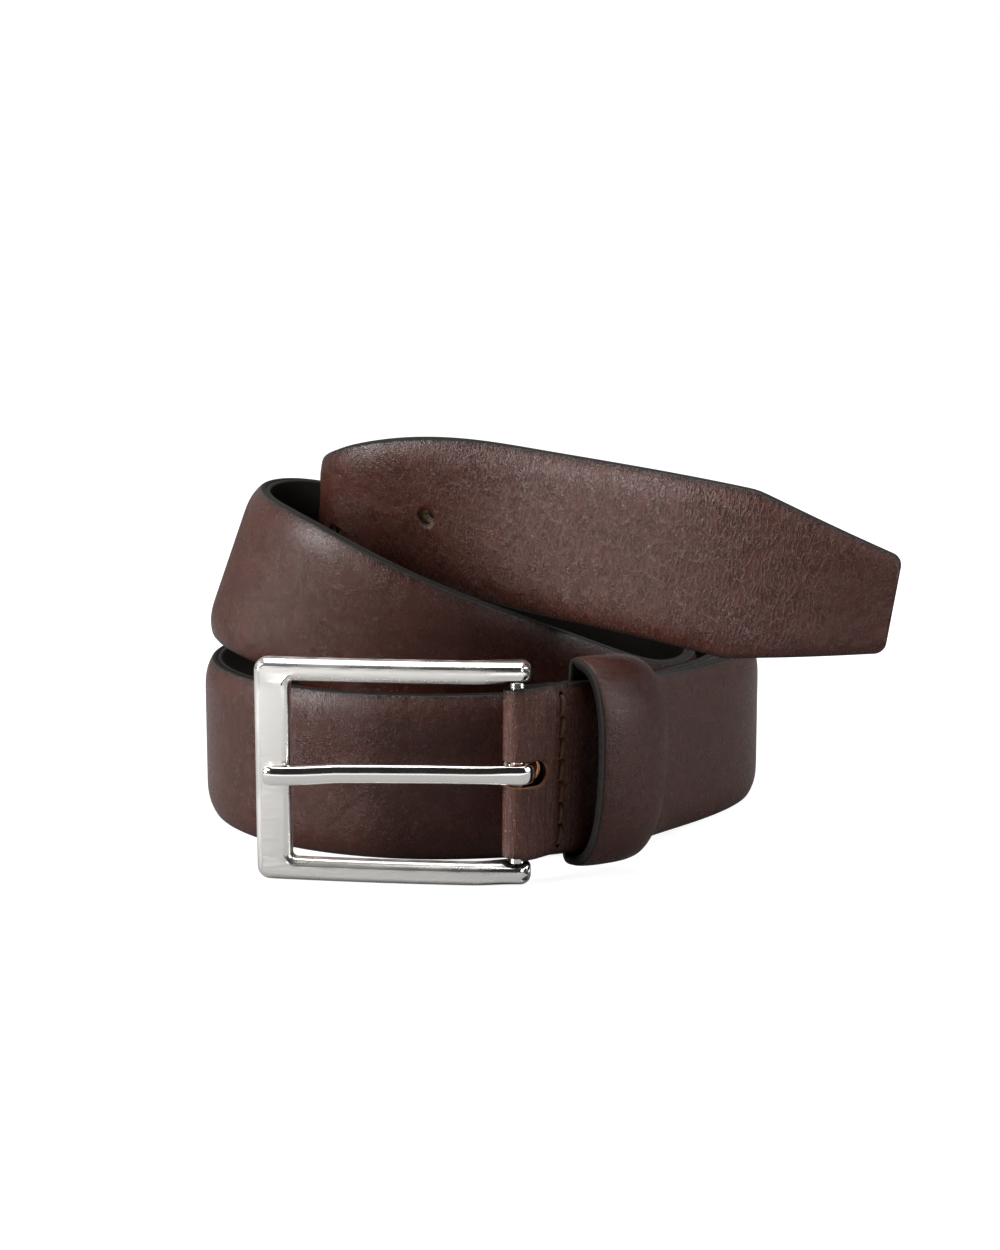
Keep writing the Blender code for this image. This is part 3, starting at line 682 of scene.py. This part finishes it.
def stitch_groove(s, w):
    """How far the top leather is pulled in along each row of stitches, most at the holes."""
    pulled = np.zeros_like(np.asarray(s, float) + np.asarray(w, float))
    for row in STITCH_ROWS.values():
        at_holes = 0.7 - 0.3 * np.cos(2 * math.pi * np.asarray(w) / STITCH_PITCH)
        pulled = pulled + np.exp(-(((s - row) / GROOVE_WIDTH) ** 2)) * at_holes
        pulled = pulled - 0.42 * np.exp(-(((s - row + 2.1 * GROOVE_WIDTH) / GROOVE_WIDTH) ** 2))
    inside = 1 - smooth_step(np.abs(w), 15.4 * MM, 17.0 * MM)
    return GROOVE_DEPTH * pulled * inside


def return_height(s):
    """Middle of the turned-back end, which steps over the keeper's hidden leg."""
    over = smooth_step(s, PLIES_MEET, KEEPER_FROM) - smooth_step(s, KEEPER_TO, 31.5 * MM)
    flat = smooth_step(s, 0, 8 * MM)
    return -FOLD_RADIUS * (1 - flat) + RETURN_HEIGHT * flat + over * (RETURN_OVER_KEEPER - RETURN_HEIGHT)


def front_height(s):
    """Middle of the top leather in front of the heel bar, easing down to the strap's face."""
    strap = FACE_HEIGHT - GRAIN_THICKNESS / 2
    return strap + (FOLD_RADIUS - strap) * (1 - smooth_step(s, 0, 8 * MM))


# %% [markdown]
# ## The top leather
# One long sheet covers the face of the belt, goes round the heel bar and comes back behind itself.
# Its path is drawn in the plane across the strap as distance and height: in from the turned-back
# end, half a circle round the bar, and out along the face.

# %% The path of the top leather
behind = np.linspace(RETURN_LENGTH, 0.0, 240)
turns = np.radians(np.linspace(-90, 90, 120))
ahead = np.linspace(0.0, STRAP_LENGTH, 6000)
PATH = np.vstack(
    [
        np.column_stack([behind, return_height(behind)]),
        np.column_stack([-FOLD_RADIUS * np.cos(turns), FOLD_RADIUS * np.sin(turns)])[1:],
        np.column_stack([ahead, front_height(ahead)])[1:],
    ]
)
PATH_LENGTH = distance_along(PATH)
PATH_LINE = unit(np.gradient(PATH, PATH_LENGTH, axis=0))
BAR_FRONT = PATH_LENGTH[len(behind) + len(turns) - 2]
BAR_BACK = PATH_LENGTH[len(behind) - 1]
FOLD_MIDDLE = (BAR_FRONT + BAR_BACK) / 2
print(f"top leather {PATH_LENGTH[-1]:.3f} m long, fold at {FOLD_MIDDLE:.4f} m")


def even_rows(*stretches):
    """Row positions from (start, end, step) stretches that follow one another."""
    rows = [np.linspace(a, b, max(2, round((b - a) / step) + 1))[:-1] for a, b, step in stretches]
    return np.concatenate([*rows, [stretches[-1][1]]])


def strap_columns():
    """Places across the width, closer together where the edge rolls over."""
    middle, shoulder, edge = np.linspace(0, 9.0, 7), np.linspace(9.0, 16.0, 9), np.linspace(16.0, 17.5, 4)
    half = np.concatenate([middle[:-1], shoulder[:-1], edge])
    return np.concatenate([-half[:0:-1], half]) * MM


# %% [markdown]
# The sheet is punched flat: the belt's holes, the prong's slot and two rows of stitch holes. Only
# then is it carried round the bar and along the coil.


# %% Cutting, punching and coiling the top leather
def belt_holes(end):
    """Punches for the belt's holes, counted back from the tip of the flat sheet."""
    places = [end - FIRST_HOLE_FROM_TIP - k * HOLE_SPACING for k in range(HOLE_COUNT)]
    return [outline_cutter("hole", circle_points(x, 0.0, HOLE_RADIUS), HOLE_WALL) for x in places]


def coil_top_leather(points):
    """Flat sheet points (x along, y through, z across) to the coil."""
    s, n, line_s, line_n = (
        np.interp(points[:, 0], PATH_LENGTH, column) for column in (*PATH.T, *PATH_LINE.T)
    )
    front = points[:, 0] >= BAR_FRONT
    width = np.where(front, half_width(s), RETURN_HALF_WIDTH) / STRAP_HALF_WIDTH
    dome = np.where(front, smooth_step(s, 1 * MM, PLIES_MEET), 0.0)
    height = points[:, 1] - GRAIN_THICKNESS / 2
    drop = dome * roll_over(points[:, 2]) + np.where(front, stitch_groove(s, points[:, 2]), 0.0)
    return place(s - line_n * height, n + line_s * height - drop, points[:, 2] * width)


def make_top_leather():
    end = PATH_LENGTH[-1]
    rows = even_rows(
        (0.0, BAR_BACK - 4 * MM, 1.2 * MM),
        (BAR_BACK - 4 * MM, BAR_FRONT + 12 * MM, 0.35 * MM),
        (BAR_FRONT + 12 * MM, BAR_FRONT + 29 * MM, 1.2 * MM),
        (BAR_FRONT + 29 * MM, BAR_FRONT + 35 * MM, 0.5 * MM),
        (BAR_FRONT + 35 * MM, end - 34 * MM, 1.6 * MM),
        (end - 34 * MM, end - 3 * MM, 1.2 * MM),
        (end - 3 * MM, end, 0.25 * MM),
    )
    finishes = (BROWN_LEATHER, EDGE_PAINT, LINING)
    top = flat_sheet("strap_leather", rows, strap_columns(), GRAIN_THICKNESS, 0.3 * MM, 1, finishes)
    cutters = belt_holes(end)
    reach = math.pi * FOLD_RADIUS / 2 + SLOT_PAST_BAR - SLOT_RADIUS
    arc = np.radians(np.linspace(-90, 90, 15))
    ends = [(reach + SLOT_RADIUS * math.cos(t), SLOT_RADIUS * math.sin(t)) for t in arc]
    slot = [(FOLD_MIDDLE + side * x, side * z) for side in (1, -1) for x, z in ends]
    cutters.append(outline_cutter("slot", slot, RAW_TAN))
    for row, s in STITCH_ROWS.items():
        for w in STITCH_PLACES:
            outline = circle_points(BAR_FRONT + s, w, STITCH_HOLE_RADIUS, 10, 0.8)
            cutters.append(outline_cutter(row, outline, HOLE_WALL))
    cut_with(top, cutters)
    map_flat(top.data, -BAR_FRONT)
    move_vertices(top.data, coil_top_leather(vertex_array(top.data)))
    return top


strap_leather = make_top_leather()
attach(strap_leather, "strap")
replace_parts(strap_leather, "strap_grain_ply")
print("top leather:", len(strap_leather.data.polygons), "faces")


# %% [markdown]
# ## The lining
# The lining is a second flat sheet behind the first, cut to the same outline and punched with the
# same holes. Its back is flat across, so the belt lies flat against a waist.


# %% The lining
def make_lining():
    rows = even_rows(
        (LINING_STARTS, 44 * MM, 1.0 * MM),
        (44 * MM, STRAP_LENGTH - 34 * MM, 1.8 * MM),
        (STRAP_LENGTH - 34 * MM, STRAP_LENGTH - 3 * MM, 1.2 * MM),
        (STRAP_LENGTH - 3 * MM, STRAP_LENGTH, 0.25 * MM),
    )
    finishes = (LINING, EDGE_PAINT, LINING)
    sheet = flat_sheet("strap_lining", rows, strap_columns(), LINING_THICKNESS, 0.35 * MM, -1, finishes)
    cut_with(sheet, belt_holes(STRAP_LENGTH))
    map_flat(sheet.data)
    points = vertex_array(sheet.data)
    width = half_width(points[:, 0]) / STRAP_HALF_WIDTH
    move_vertices(sheet.data, place(points[:, 0], LINING_BACK + points[:, 1], points[:, 2] * width))
    return sheet


strap_lining = make_lining()
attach(strap_lining, "strap")
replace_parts(strap_lining, "strap_lining_ply")
NODES["strap_core_filler"].data.materials.clear()
NODES["strap_core_filler"].data.materials.append(FILLER)
print("lining:", len(strap_lining.data.polygons), "faces")

# %% [markdown]
# ## The keeper
# The keeper is a short band bent round the strap into a loop. It is cut flat too: its length is the
# loop's outline, and its width covers the space between the two rows of stitching. The outline is
# bowed in front, because stiff leather bent into a loop springs outwards between its corners.

# %% The keeper's outline and band
KEEPER_THICKNESS = 2.3 * MM
KEEPER_LEG = 1.0 * MM
KEEPER_HALF_HEIGHT = 21.5 * MM
KEEPER_RAISED = 1.0 * MM
KEEPER_FRONT = 11.0 * MM
KEEPER_LEG_BACK = -3.25 * MM
KEEPER_BOW = 0.8


def keeper_outline():
    """Outer face of the loop as (n, w), starting and ending in the middle of the hidden leg."""
    corner, half = 2.4 * MM, KEEPER_HALF_HEIGHT
    middle = KEEPER_LEG_BACK + corner
    deep = KEEPER_FRONT - middle
    turns = np.radians(np.linspace(90, -90, 181))
    across = np.abs(np.cos(turns)) ** KEEPER_BOW * deep + middle
    up = np.sign(turns) * np.abs(np.sin(turns)) ** KEEPER_BOW * half
    corners = np.radians(np.linspace(180, 90, 24))[:-1]
    top = np.column_stack([middle + corner * np.cos(corners), half - corner + corner * np.sin(corners)])
    foot = top[::-1] * (1, -1)
    leg = [(KEEPER_LEG_BACK, 0.2 * MM)], [(KEEPER_LEG_BACK, -0.2 * MM)]
    outline = np.vstack([leg[0], top, np.column_stack([across, up]), foot, leg[1]])
    length = distance_along(outline)
    even = np.linspace(0.0, length[-1], 400)
    outline = np.column_stack([np.interp(even, length, outline[:, k]) for k in range(2)])
    return even, outline, unit(np.gradient(outline, even, axis=0))


def make_keeper():
    length, outline, line = keeper_outline()
    rows = np.linspace(0.0, length[-1], 150)
    columns = np.linspace(0.0, KEEPER_TO - KEEPER_FROM, 16)
    finishes = (KEEPER_LEATHER, EDGE_PAINT, LINING)
    band = flat_sheet("keeper_loop", rows, columns, KEEPER_THICKNESS, 0.55 * MM, 1, finishes)
    map_flat(band.data, 0.4)
    points = vertex_array(band.data)
    n, w, line_n, line_w = (np.interp(points[:, 0], length, column) for column in (*outline.T, *line.T))
    leg = smooth_step(n, KEEPER_LEG_BACK, 1 * MM)
    thickness = KEEPER_LEG + (KEEPER_THICKNESS - KEEPER_LEG) * leg
    inward = (KEEPER_THICKNESS - points[:, 1]) / KEEPER_THICKNESS * thickness
    across = points[:, 2] / (KEEPER_TO - KEEPER_FROM) * 2 - 1
    crown = 0.35 * MM * (across**4) * (points[:, 1] / KEEPER_THICKNESS)
    inward = inward + crown * leg
    n_in, w_in = n + line_w * inward, w - line_n * inward
    s = KEEPER_FROM + points[:, 2]
    move_vertices(band.data, place(s, n_in, w_in + KEEPER_RAISED))
    return band


keeper_loop = make_keeper()
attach(keeper_loop, "strap")
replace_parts(keeper_loop, "keeper_band")


# %% [markdown]
# ## The stitching
# A lockstitch shows as a row of short, plump stitches, each diving into a hole at both ends. The
# thread is three strands twisted together: a ring with three lobes, pushed out step by step and
# turned a little each time, gives that twist.


# %% Twisted stitches
THREAD_HALF = 0.50 * MM
STITCH_SLANT = 0.24 * MM
STITCH_DIP = 1.0 * MM
STITCH_STEPS = 15
THREAD_POINTS = 12
STRAND_DEPTH = 0.16
STRAND_TWIST = 0.42


def stitch(s, w_from, w_to, surface, side):
    """Rings along one stitch between two holes, lying on the surface and dipping in at each end."""
    middle, reach = (w_from + w_to) / 2, (w_to - w_from) / 2
    turns = np.linspace(0.0, math.tau, THREAD_POINTS, endpoint=False)
    for k in range(STITCH_STEPS):
        t = math.cos(math.pi * k / (STITCH_STEPS - 1))
        w = middle - reach * t
        n = float(surface(w)) + side * (THREAD_HALF * 0.55 - abs(t) ** 5 * STITCH_DIP)
        radius = THREAD_HALF * (1 + STRAND_DEPTH * np.cos(3 * (turns + STRAND_TWIST * k)))
        across = s + STITCH_SLANT * (w - middle) / reach + radius * np.cos(turns)
        yield place(across, n + radius * np.sin(turns), np.full(THREAD_POINTS, w))


def make_stitches(name, s, surface, side):
    bm = bmesh.new()
    for start, end in zip(STITCH_PLACES, STITCH_PLACES[1:]):
        push_ring(bm, THREAD_POINTS, stitch(s, start, end, surface, side))
    bmesh.ops.recalc_face_normals(bm, faces=bm.faces)
    smooth_all(bm)
    made = wearing(name, bm, THREAD)
    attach(made, "strap")
    return made


for row, s in STITCH_ROWS.items():
    middles, half = (front_height(s), return_height(s)), GRAIN_THICKNESS / 2
    rolled = smooth_step(s, MM, PLIES_MEET)
    front = lambda w: middles[0] + half - rolled * roll_over(w) - 0.7 * GROOVE_DEPTH
    back = lambda w: middles[1] - half
    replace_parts(make_stitches(f"needle_stitches_{row}", s, front, 1), f"needle_thread_{row}")
    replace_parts(make_stitches(f"bobbin_stitches_{row}", s, back, -1), f"bobbin_thread_{row}")

# %% [markdown]
# ## The buckle's frame
# The frame is cast: a wide end bar and two arms that bend back to the heel bar. It starts as five
# flat quads, is pushed out to its thickness, and its outer corners and long edges are bevelled. Then
# each point is bent in one pass: u runs from the heel bar to the end bar, v stands out in front.

# %% Buckle sizes and layout
BUCKLE_TURN = math.radians(7.0)
BUCKLE_REACH = 52.8 * MM
BUCKLE_HALF_HEIGHT = 22.75 * MM
ARM_WIDTH = 4.6 * MM
END_BAR_WIDTH = 7.2 * MM
FRAME_THICKNESS = 3.4 * MM
FRAME_MIDDLE = 1.9 * MM
FRAME_BOW = 0.8 * MM
ARM_END_RADIUS = 2.7 * MM
ARM_BLEND = 9.0 * MM
OUTER_CORNER = 2.6 * MM
INNER_CORNER = 1.0 * MM
ARM_END_CORNERS = (1.9 * MM, 1.3 * MM)
FRONT_EDGE = 1.45 * MM
BACK_EDGE = 0.6 * MM
ARM_CROWN = 0.42 * MM


def place_buckle(u, v, w):
    """Buckle coordinates to the coil's frame, as an array of points."""
    u, v, w = (np.asarray(values, float).reshape(-1) for values in (u, v, w))
    side, front = math.cos(BUCKLE_TURN), math.sin(BUCKLE_TURN)
    return np.column_stack([-u * side - v * front, u * front - v * side, w]) + np.array(HEEL_BAR)


def frame_middle(u):
    bow = FRAME_BOW * np.sin(math.pi * np.clip(u / BUCKLE_REACH, 0.0, 1.0))
    return (FRAME_MIDDLE + bow) * smooth_step(u, -0.5 * MM, ARM_BLEND)


def frame_half_thickness(u):
    rounded = np.sqrt(np.maximum(ARM_END_RADIUS**2 - np.minimum(u, 0.0) ** 2, (0.25 * MM) ** 2))
    return rounded + (FRAME_THICKNESS / 2 - ARM_END_RADIUS) * smooth_step(u, 0, ARM_BLEND)


# %% [markdown]
# Cuts across the arms and the end bar give the bend enough points. They stay clear of the bevels,
# so no sliver is left to sparkle.


# %% Casting the frame
def cut_across(bm, axis, places):
    normal = [float(k == axis) for k in range(3)]
    for at in places:
        everything = list(bm.verts) + list(bm.edges) + list(bm.faces)
        where = [at * part for part in normal]
        bmesh.ops.bisect_plane(bm, geom=everything, plane_co=where, plane_no=normal)


def make_frame():
    inner_reach, inner_half = BUCKLE_REACH - END_BAR_WIDTH, BUCKLE_HALF_HEIGHT - ARM_WIDTH
    us = (-ARM_END_RADIUS * 0.995, inner_reach, BUCKLE_REACH)
    ws = (-BUCKLE_HALF_HEIGHT, -inner_half, inner_half, BUCKLE_HALF_HEIGHT)
    base = FRAME_THICKNESS / 2
    bm = bmesh.new()
    corner = {(i, k): bm.verts.new((u, -base, w)) for i, u in enumerate(us) for k, w in enumerate(ws)}
    for i, k in ((0, 0), (1, 0), (1, 1), (1, 2), (0, 2)):
        bm.faces.new([corner[i, k], corner[i + 1, k], corner[i + 1, k + 1], corner[i, k + 1]])
    push_out(bm, FRAME_THICKNESS)

    def upright_at(edge, u, half):
        a, b = (vert.co for vert in edge.verts)
        return abs(a.y - b.y) > MM and abs(a.x - u) < 1e-6 and abs(abs(a.z) - half) < 1e-6

    for u, half, offset, segments in (
        (BUCKLE_REACH, BUCKLE_HALF_HEIGHT, OUTER_CORNER, 8),
        (inner_reach, inner_half, INNER_CORNER, 5),
        (us[0], BUCKLE_HALF_HEIGHT, ARM_END_CORNERS[0], 7),
        (us[0], inner_half, ARM_END_CORNERS[1], 6),
    ):
        corners = [edge for edge in bm.edges if upright_at(edge, u, half)]
        bmesh.ops.bevel(bm, geom=corners, offset=offset, segments=segments, **ROUNDED)

    cuts = [-ARM_END_RADIUS * math.cos(math.radians(t)) for t in (12, 22, 34, 46, 58, 70, 80, 90)]
    cuts += list(np.linspace(0.8 * MM, inner_reach - 2.2 * MM, 46))
    cut_across(bm, 0, cuts)
    arm_middle = BUCKLE_HALF_HEIGHT - ARM_WIDTH / 2
    cut_across(bm, 2, [*(np.linspace(-16, 16, 17) * MM), -arm_middle, arm_middle])

    def long_edge(edge, level):
        along_face = all(abs(vert.co.y - level) < 1e-7 for vert in edge.verts)
        at_end = all(vert.co.x < -ARM_END_RADIUS * 0.9 for vert in edge.verts)
        return along_face and not at_end and edge.calc_face_angle(0.0) > 0.8

    front = [edge for edge in bm.edges if long_edge(edge, base)]
    back = [edge for edge in bm.edges if long_edge(edge, -base)]
    polished = {**ROUNDED, "material": 1}
    bmesh.ops.bevel(bm, geom=front, offset=FRONT_EDGE, segments=8, **polished)
    bmesh.ops.bevel(bm, geom=back, offset=BACK_EDGE, segments=3, **polished)
    smooth_all(bm)
    made = wearing("buckle_casting", bm, BRUSHED, POLISHED_EDGE)
    points = vertex_array(made.data)
    depth = points[:, 1] / base
    off_middle = np.abs(np.abs(points[:, 2]) - arm_middle) / (ARM_WIDTH / 2)
    crown = ARM_CROWN * (1 - np.clip(off_middle, 0, 1) ** 2)
    out = frame_middle(points[:, 0]) + depth * frame_half_thickness(points[:, 0])
    out += np.where(depth > 0.9, crown, 0.0)
    move_vertices(made.data, place_buckle(points[:, 0], out, points[:, 2]))
    return made


buckle_casting = make_frame()
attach(buckle_casting, "buckle")
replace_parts(buckle_casting, "buckle_frame")
print("frame:", len(buckle_casting.data.polygons), "faces")

# %% [markdown]
# ## Heel bar
# The bar is a plain round wire between the arms.

# %% Heel bar
BAR_LENGTH = 40.4 * MM


def make_bar():
    bm = bmesh.new()
    radii = {"radius1": BAR_RADIUS, "radius2": BAR_RADIUS}
    bmesh.ops.create_cone(bm, cap_ends=True, segments=48, depth=BAR_LENGTH, **radii)
    rims = [edge for edge in bm.edges if edge.calc_face_angle(0.0) > 1.0]
    bmesh.ops.bevel(bm, geom=rims, offset=0.2 * MM, segments=2, affect="EDGES", profile=0.5, material=-1)
    bmesh.ops.translate(bm, vec=HEEL_BAR, verts=bm.verts)
    for face in bm.faces:
        face.smooth = len(face.verts) < 5
    return wearing("heel_bar_wire", bm, BRUSHED)


heel_bar_wire = make_bar()
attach(heel_bar_wire, "buckle")
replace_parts(heel_bar_wire, "heel_bar")

# %% [markdown]
# ## Prong
# The prong is one bar of metal: its end is flattened and rolled round the heel bar, and its shank
# runs out over the end bar and rests there. A rounded ring is pushed along that path, changing
# width and depth as it goes.

# %% Prong
# In millimetres, in the order of the rows of prong_path.
EYE_MIDDLE = 2.75
SHANK = (
    (0.0, EYE_MIDDLE, 0.9, 1.95, 0.0),
    (2.5, EYE_MIDDLE, 1.05, 1.95, 0.0),
    (5.0, 2.8, 1.3, 1.9, 0.0),
    (9.0, 3.0, 1.5, 1.9, 0.0),
    (18.0, 3.8, 1.55, 1.95, 0.1),
    (28.0, 4.7, 1.55, 1.95, 0.1),
    (36.0, 5.2, 1.55, 1.95, 0.0),
    (42.0, 5.55, 1.5, 2.0, -0.4),
    (46.0, 5.6, 1.4, 2.0, -0.6),
    (48.8, 5.5, 1.3, 2.05, -0.7),
    (49.7, 5.42, 1.15, 1.95, -0.7),
    (50.3, 5.36, 0.9, 1.65, -0.7),
    (50.6, 5.32, 0.55, 1.15, -0.7),
    (50.7, 5.3, 0.2, 0.5, -0.7),
)
PRONG_POINTS = 24
PRONG_SQUARENESS = 0.85


def prong_path():
    """Rows of u, v, half depth, half width and droop along the prong, from the rolled end to the tip."""
    turns = np.radians(np.linspace(-28, -264, 26))
    eye = [(EYE_MIDDLE * math.cos(t), EYE_MIDDLE * math.sin(t), *SHANK[0][2:]) for t in turns]
    shank = np.array(SHANK)
    knots = shank[:, 0]
    at = np.concatenate([np.linspace(0.0, 46.0, 38), np.linspace(46.5, 50.7, 19)])
    rows = np.column_stack([np.interp(at, knots, shank[:, k]) for k in range(5)])
    rows[:, :2] = natural_spline(knots, shank[:, :2], at)
    return np.vstack([eye, rows]) * MM


def prong_rings():
    """Rounded outlines square to the path, each as points in order round the bar."""
    path = prong_path()
    line = unit(np.gradient(path[:, :2], axis=0))
    turns = np.linspace(0.0, math.tau, PRONG_POINTS, endpoint=False)
    across = np.sign(np.sin(turns)) * np.abs(np.sin(turns)) ** PRONG_SQUARENESS
    out = np.sign(np.cos(turns)) * np.abs(np.cos(turns)) ** PRONG_SQUARENESS
    for (u, v, depth, width, droop), (line_u, line_v) in zip(path, line):
        yield place_buckle(u - line_v * out * depth, v + line_u * out * depth, across * width + droop)


def make_prong():
    bm = bmesh.new()
    push_ring(bm, PRONG_POINTS, prong_rings())
    bmesh.ops.recalc_face_normals(bm, faces=bm.faces)
    smooth_all(bm)
    return wearing("prong_bar", bm, POLISHED)


prong_bar = make_prong()
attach(prong_bar, "prong")
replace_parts(prong_bar, "prong")

# %% [markdown]
# ## Floor, light and camera
# The belt stands on a pale table. To the camera the table glows, as a light table does, so only a
# faint contact shadow is left. Well in front of the belt it glows to every ray, which fills the
# shadows and gives the flat metal faces something to mirror. A broad soft lamp on the left gives the
# leather its sheen, one overhead draws the highlights along the rolled edges, and a weaker one on
# the right lifts the far side. The room in front is dark, so that metal has dark to reflect.


# %% The table
TABLE_GLOW = 0.88
HORIZON_GLOW = 1.05
GLOW_RISES = (0.10, 0.30)
FRONT_GLOW_RISES = (-0.18, -0.32)


def make_table():
    bm = bmesh.new()
    bmesh.ops.create_circle(bm, cap_ends=True, segments=96, radius=6.0)
    made, tree, shader = new_material("white_table")
    matt = {"Base Color": (0.28, 0.28, 0.28, 1), "Roughness": 0.9, "Specular IOR Level": 0.1}
    set_inputs(tree, shader, {**matt, "Emission Color": (1.0, 1.0, 1.0, 1)})
    where = node(tree, "ShaderNodeTexCoord").outputs["Object"]
    away = node(tree, "ShaderNodeVectorMath", {"operation": "LENGTH"}, {0: where}).outputs["Value"]
    glow = map_range(tree, away, *GLOW_RISES, TABLE_GLOW, HORIZON_GLOW)
    seen = node(tree, "ShaderNodeLightPath").outputs["Is Camera Ray"]
    towards = node(tree, "ShaderNodeSeparateXYZ", None, {0: where}).outputs[1]
    lit_front = map_range(tree, towards, *FRONT_GLOW_RISES, 0.0, TABLE_GLOW)
    glow = node(tree, "ShaderNodeMix", {"data_type": "FLOAT"}, {0: seen, 2: lit_front, 3: glow}).outputs[0]
    tree.links.new(glow, shader.inputs["Emission Strength"])
    return wearing("table", bm, made)


make_table()


# %% [markdown]
# Each lamp has a place, a point it faces, a width and height in metres and a power in watts. The
# camera stands in front of the belt, slightly above it, and looks a little down.


# %% Lights, world and camera
def add_area(name, place_at, aim, size, power):
    lamp = bpy.data.lights.new(name, "AREA")
    lamp.shape = "RECTANGLE"
    lamp.size, lamp.size_y = size
    lamp.energy = power
    made = bpy.data.objects.new(name, lamp)
    made.location = place_at
    made.rotation_euler = (Vector(aim) - Vector(place_at)).to_track_quat("-Z", "Y").to_euler()
    bpy.context.scene.collection.objects.link(made)


LAMPS = (
    ("left_softbox", (-0.64, -0.25, 0.32), (0, -0.03, 0.05), (0.34, 0.40), 10.0),
    ("overhead", (0.0, 0.05, 0.75), (0, 0, 0.0), (0.7, 0.4), 4.5),
    ("right_card", (0.58, -0.22, 0.28), (0.03, -0.04, 0.03), (0.4, 0.4), 3.0),
)
for lamp_row in LAMPS:
    add_area(*lamp_row)

world = bpy.data.worlds.new("studio")
world.use_nodes = True
sky = world.node_tree
background = sky.nodes["Background"]
looking = node(sky, "ShaderNodeTexCoord").outputs["Generated"]
depth = node(sky, "ShaderNodeSeparateXYZ", None, {0: looking}).outputs[1]
room = map_range(sky, depth, -0.5, 0.7, 0.02, 0.34)
seen = node(sky, "ShaderNodeLightPath").outputs["Is Camera Ray"]
sky.links.new(math_node(sky, "MAXIMUM", room, seen), background.inputs["Strength"])
background.inputs["Color"].default_value = (1.0, 1.0, 1.0, 1.0)
bpy.context.scene.world = world
bpy.context.scene.view_settings.view_transform = "Standard"

CAMERA_PLACE = Vector((0.0, -430.0, 122.0)) * MM - Vector(COIL_MIDDLE)
CAMERA_DOWN = math.radians(9.2)
camera_data = bpy.data.cameras.new("camera")
camera_data.lens = 63.36
camera_data.sensor_width = 36.0
camera_data.clip_start = 0.01
camera = bpy.data.objects.new("camera", camera_data)
camera.location = CAMERA_PLACE
camera.rotation_euler = (math.radians(90) - CAMERA_DOWN, 0.0, 0.0)
bpy.context.scene.collection.objects.link(camera)
bpy.context.scene.camera = camera
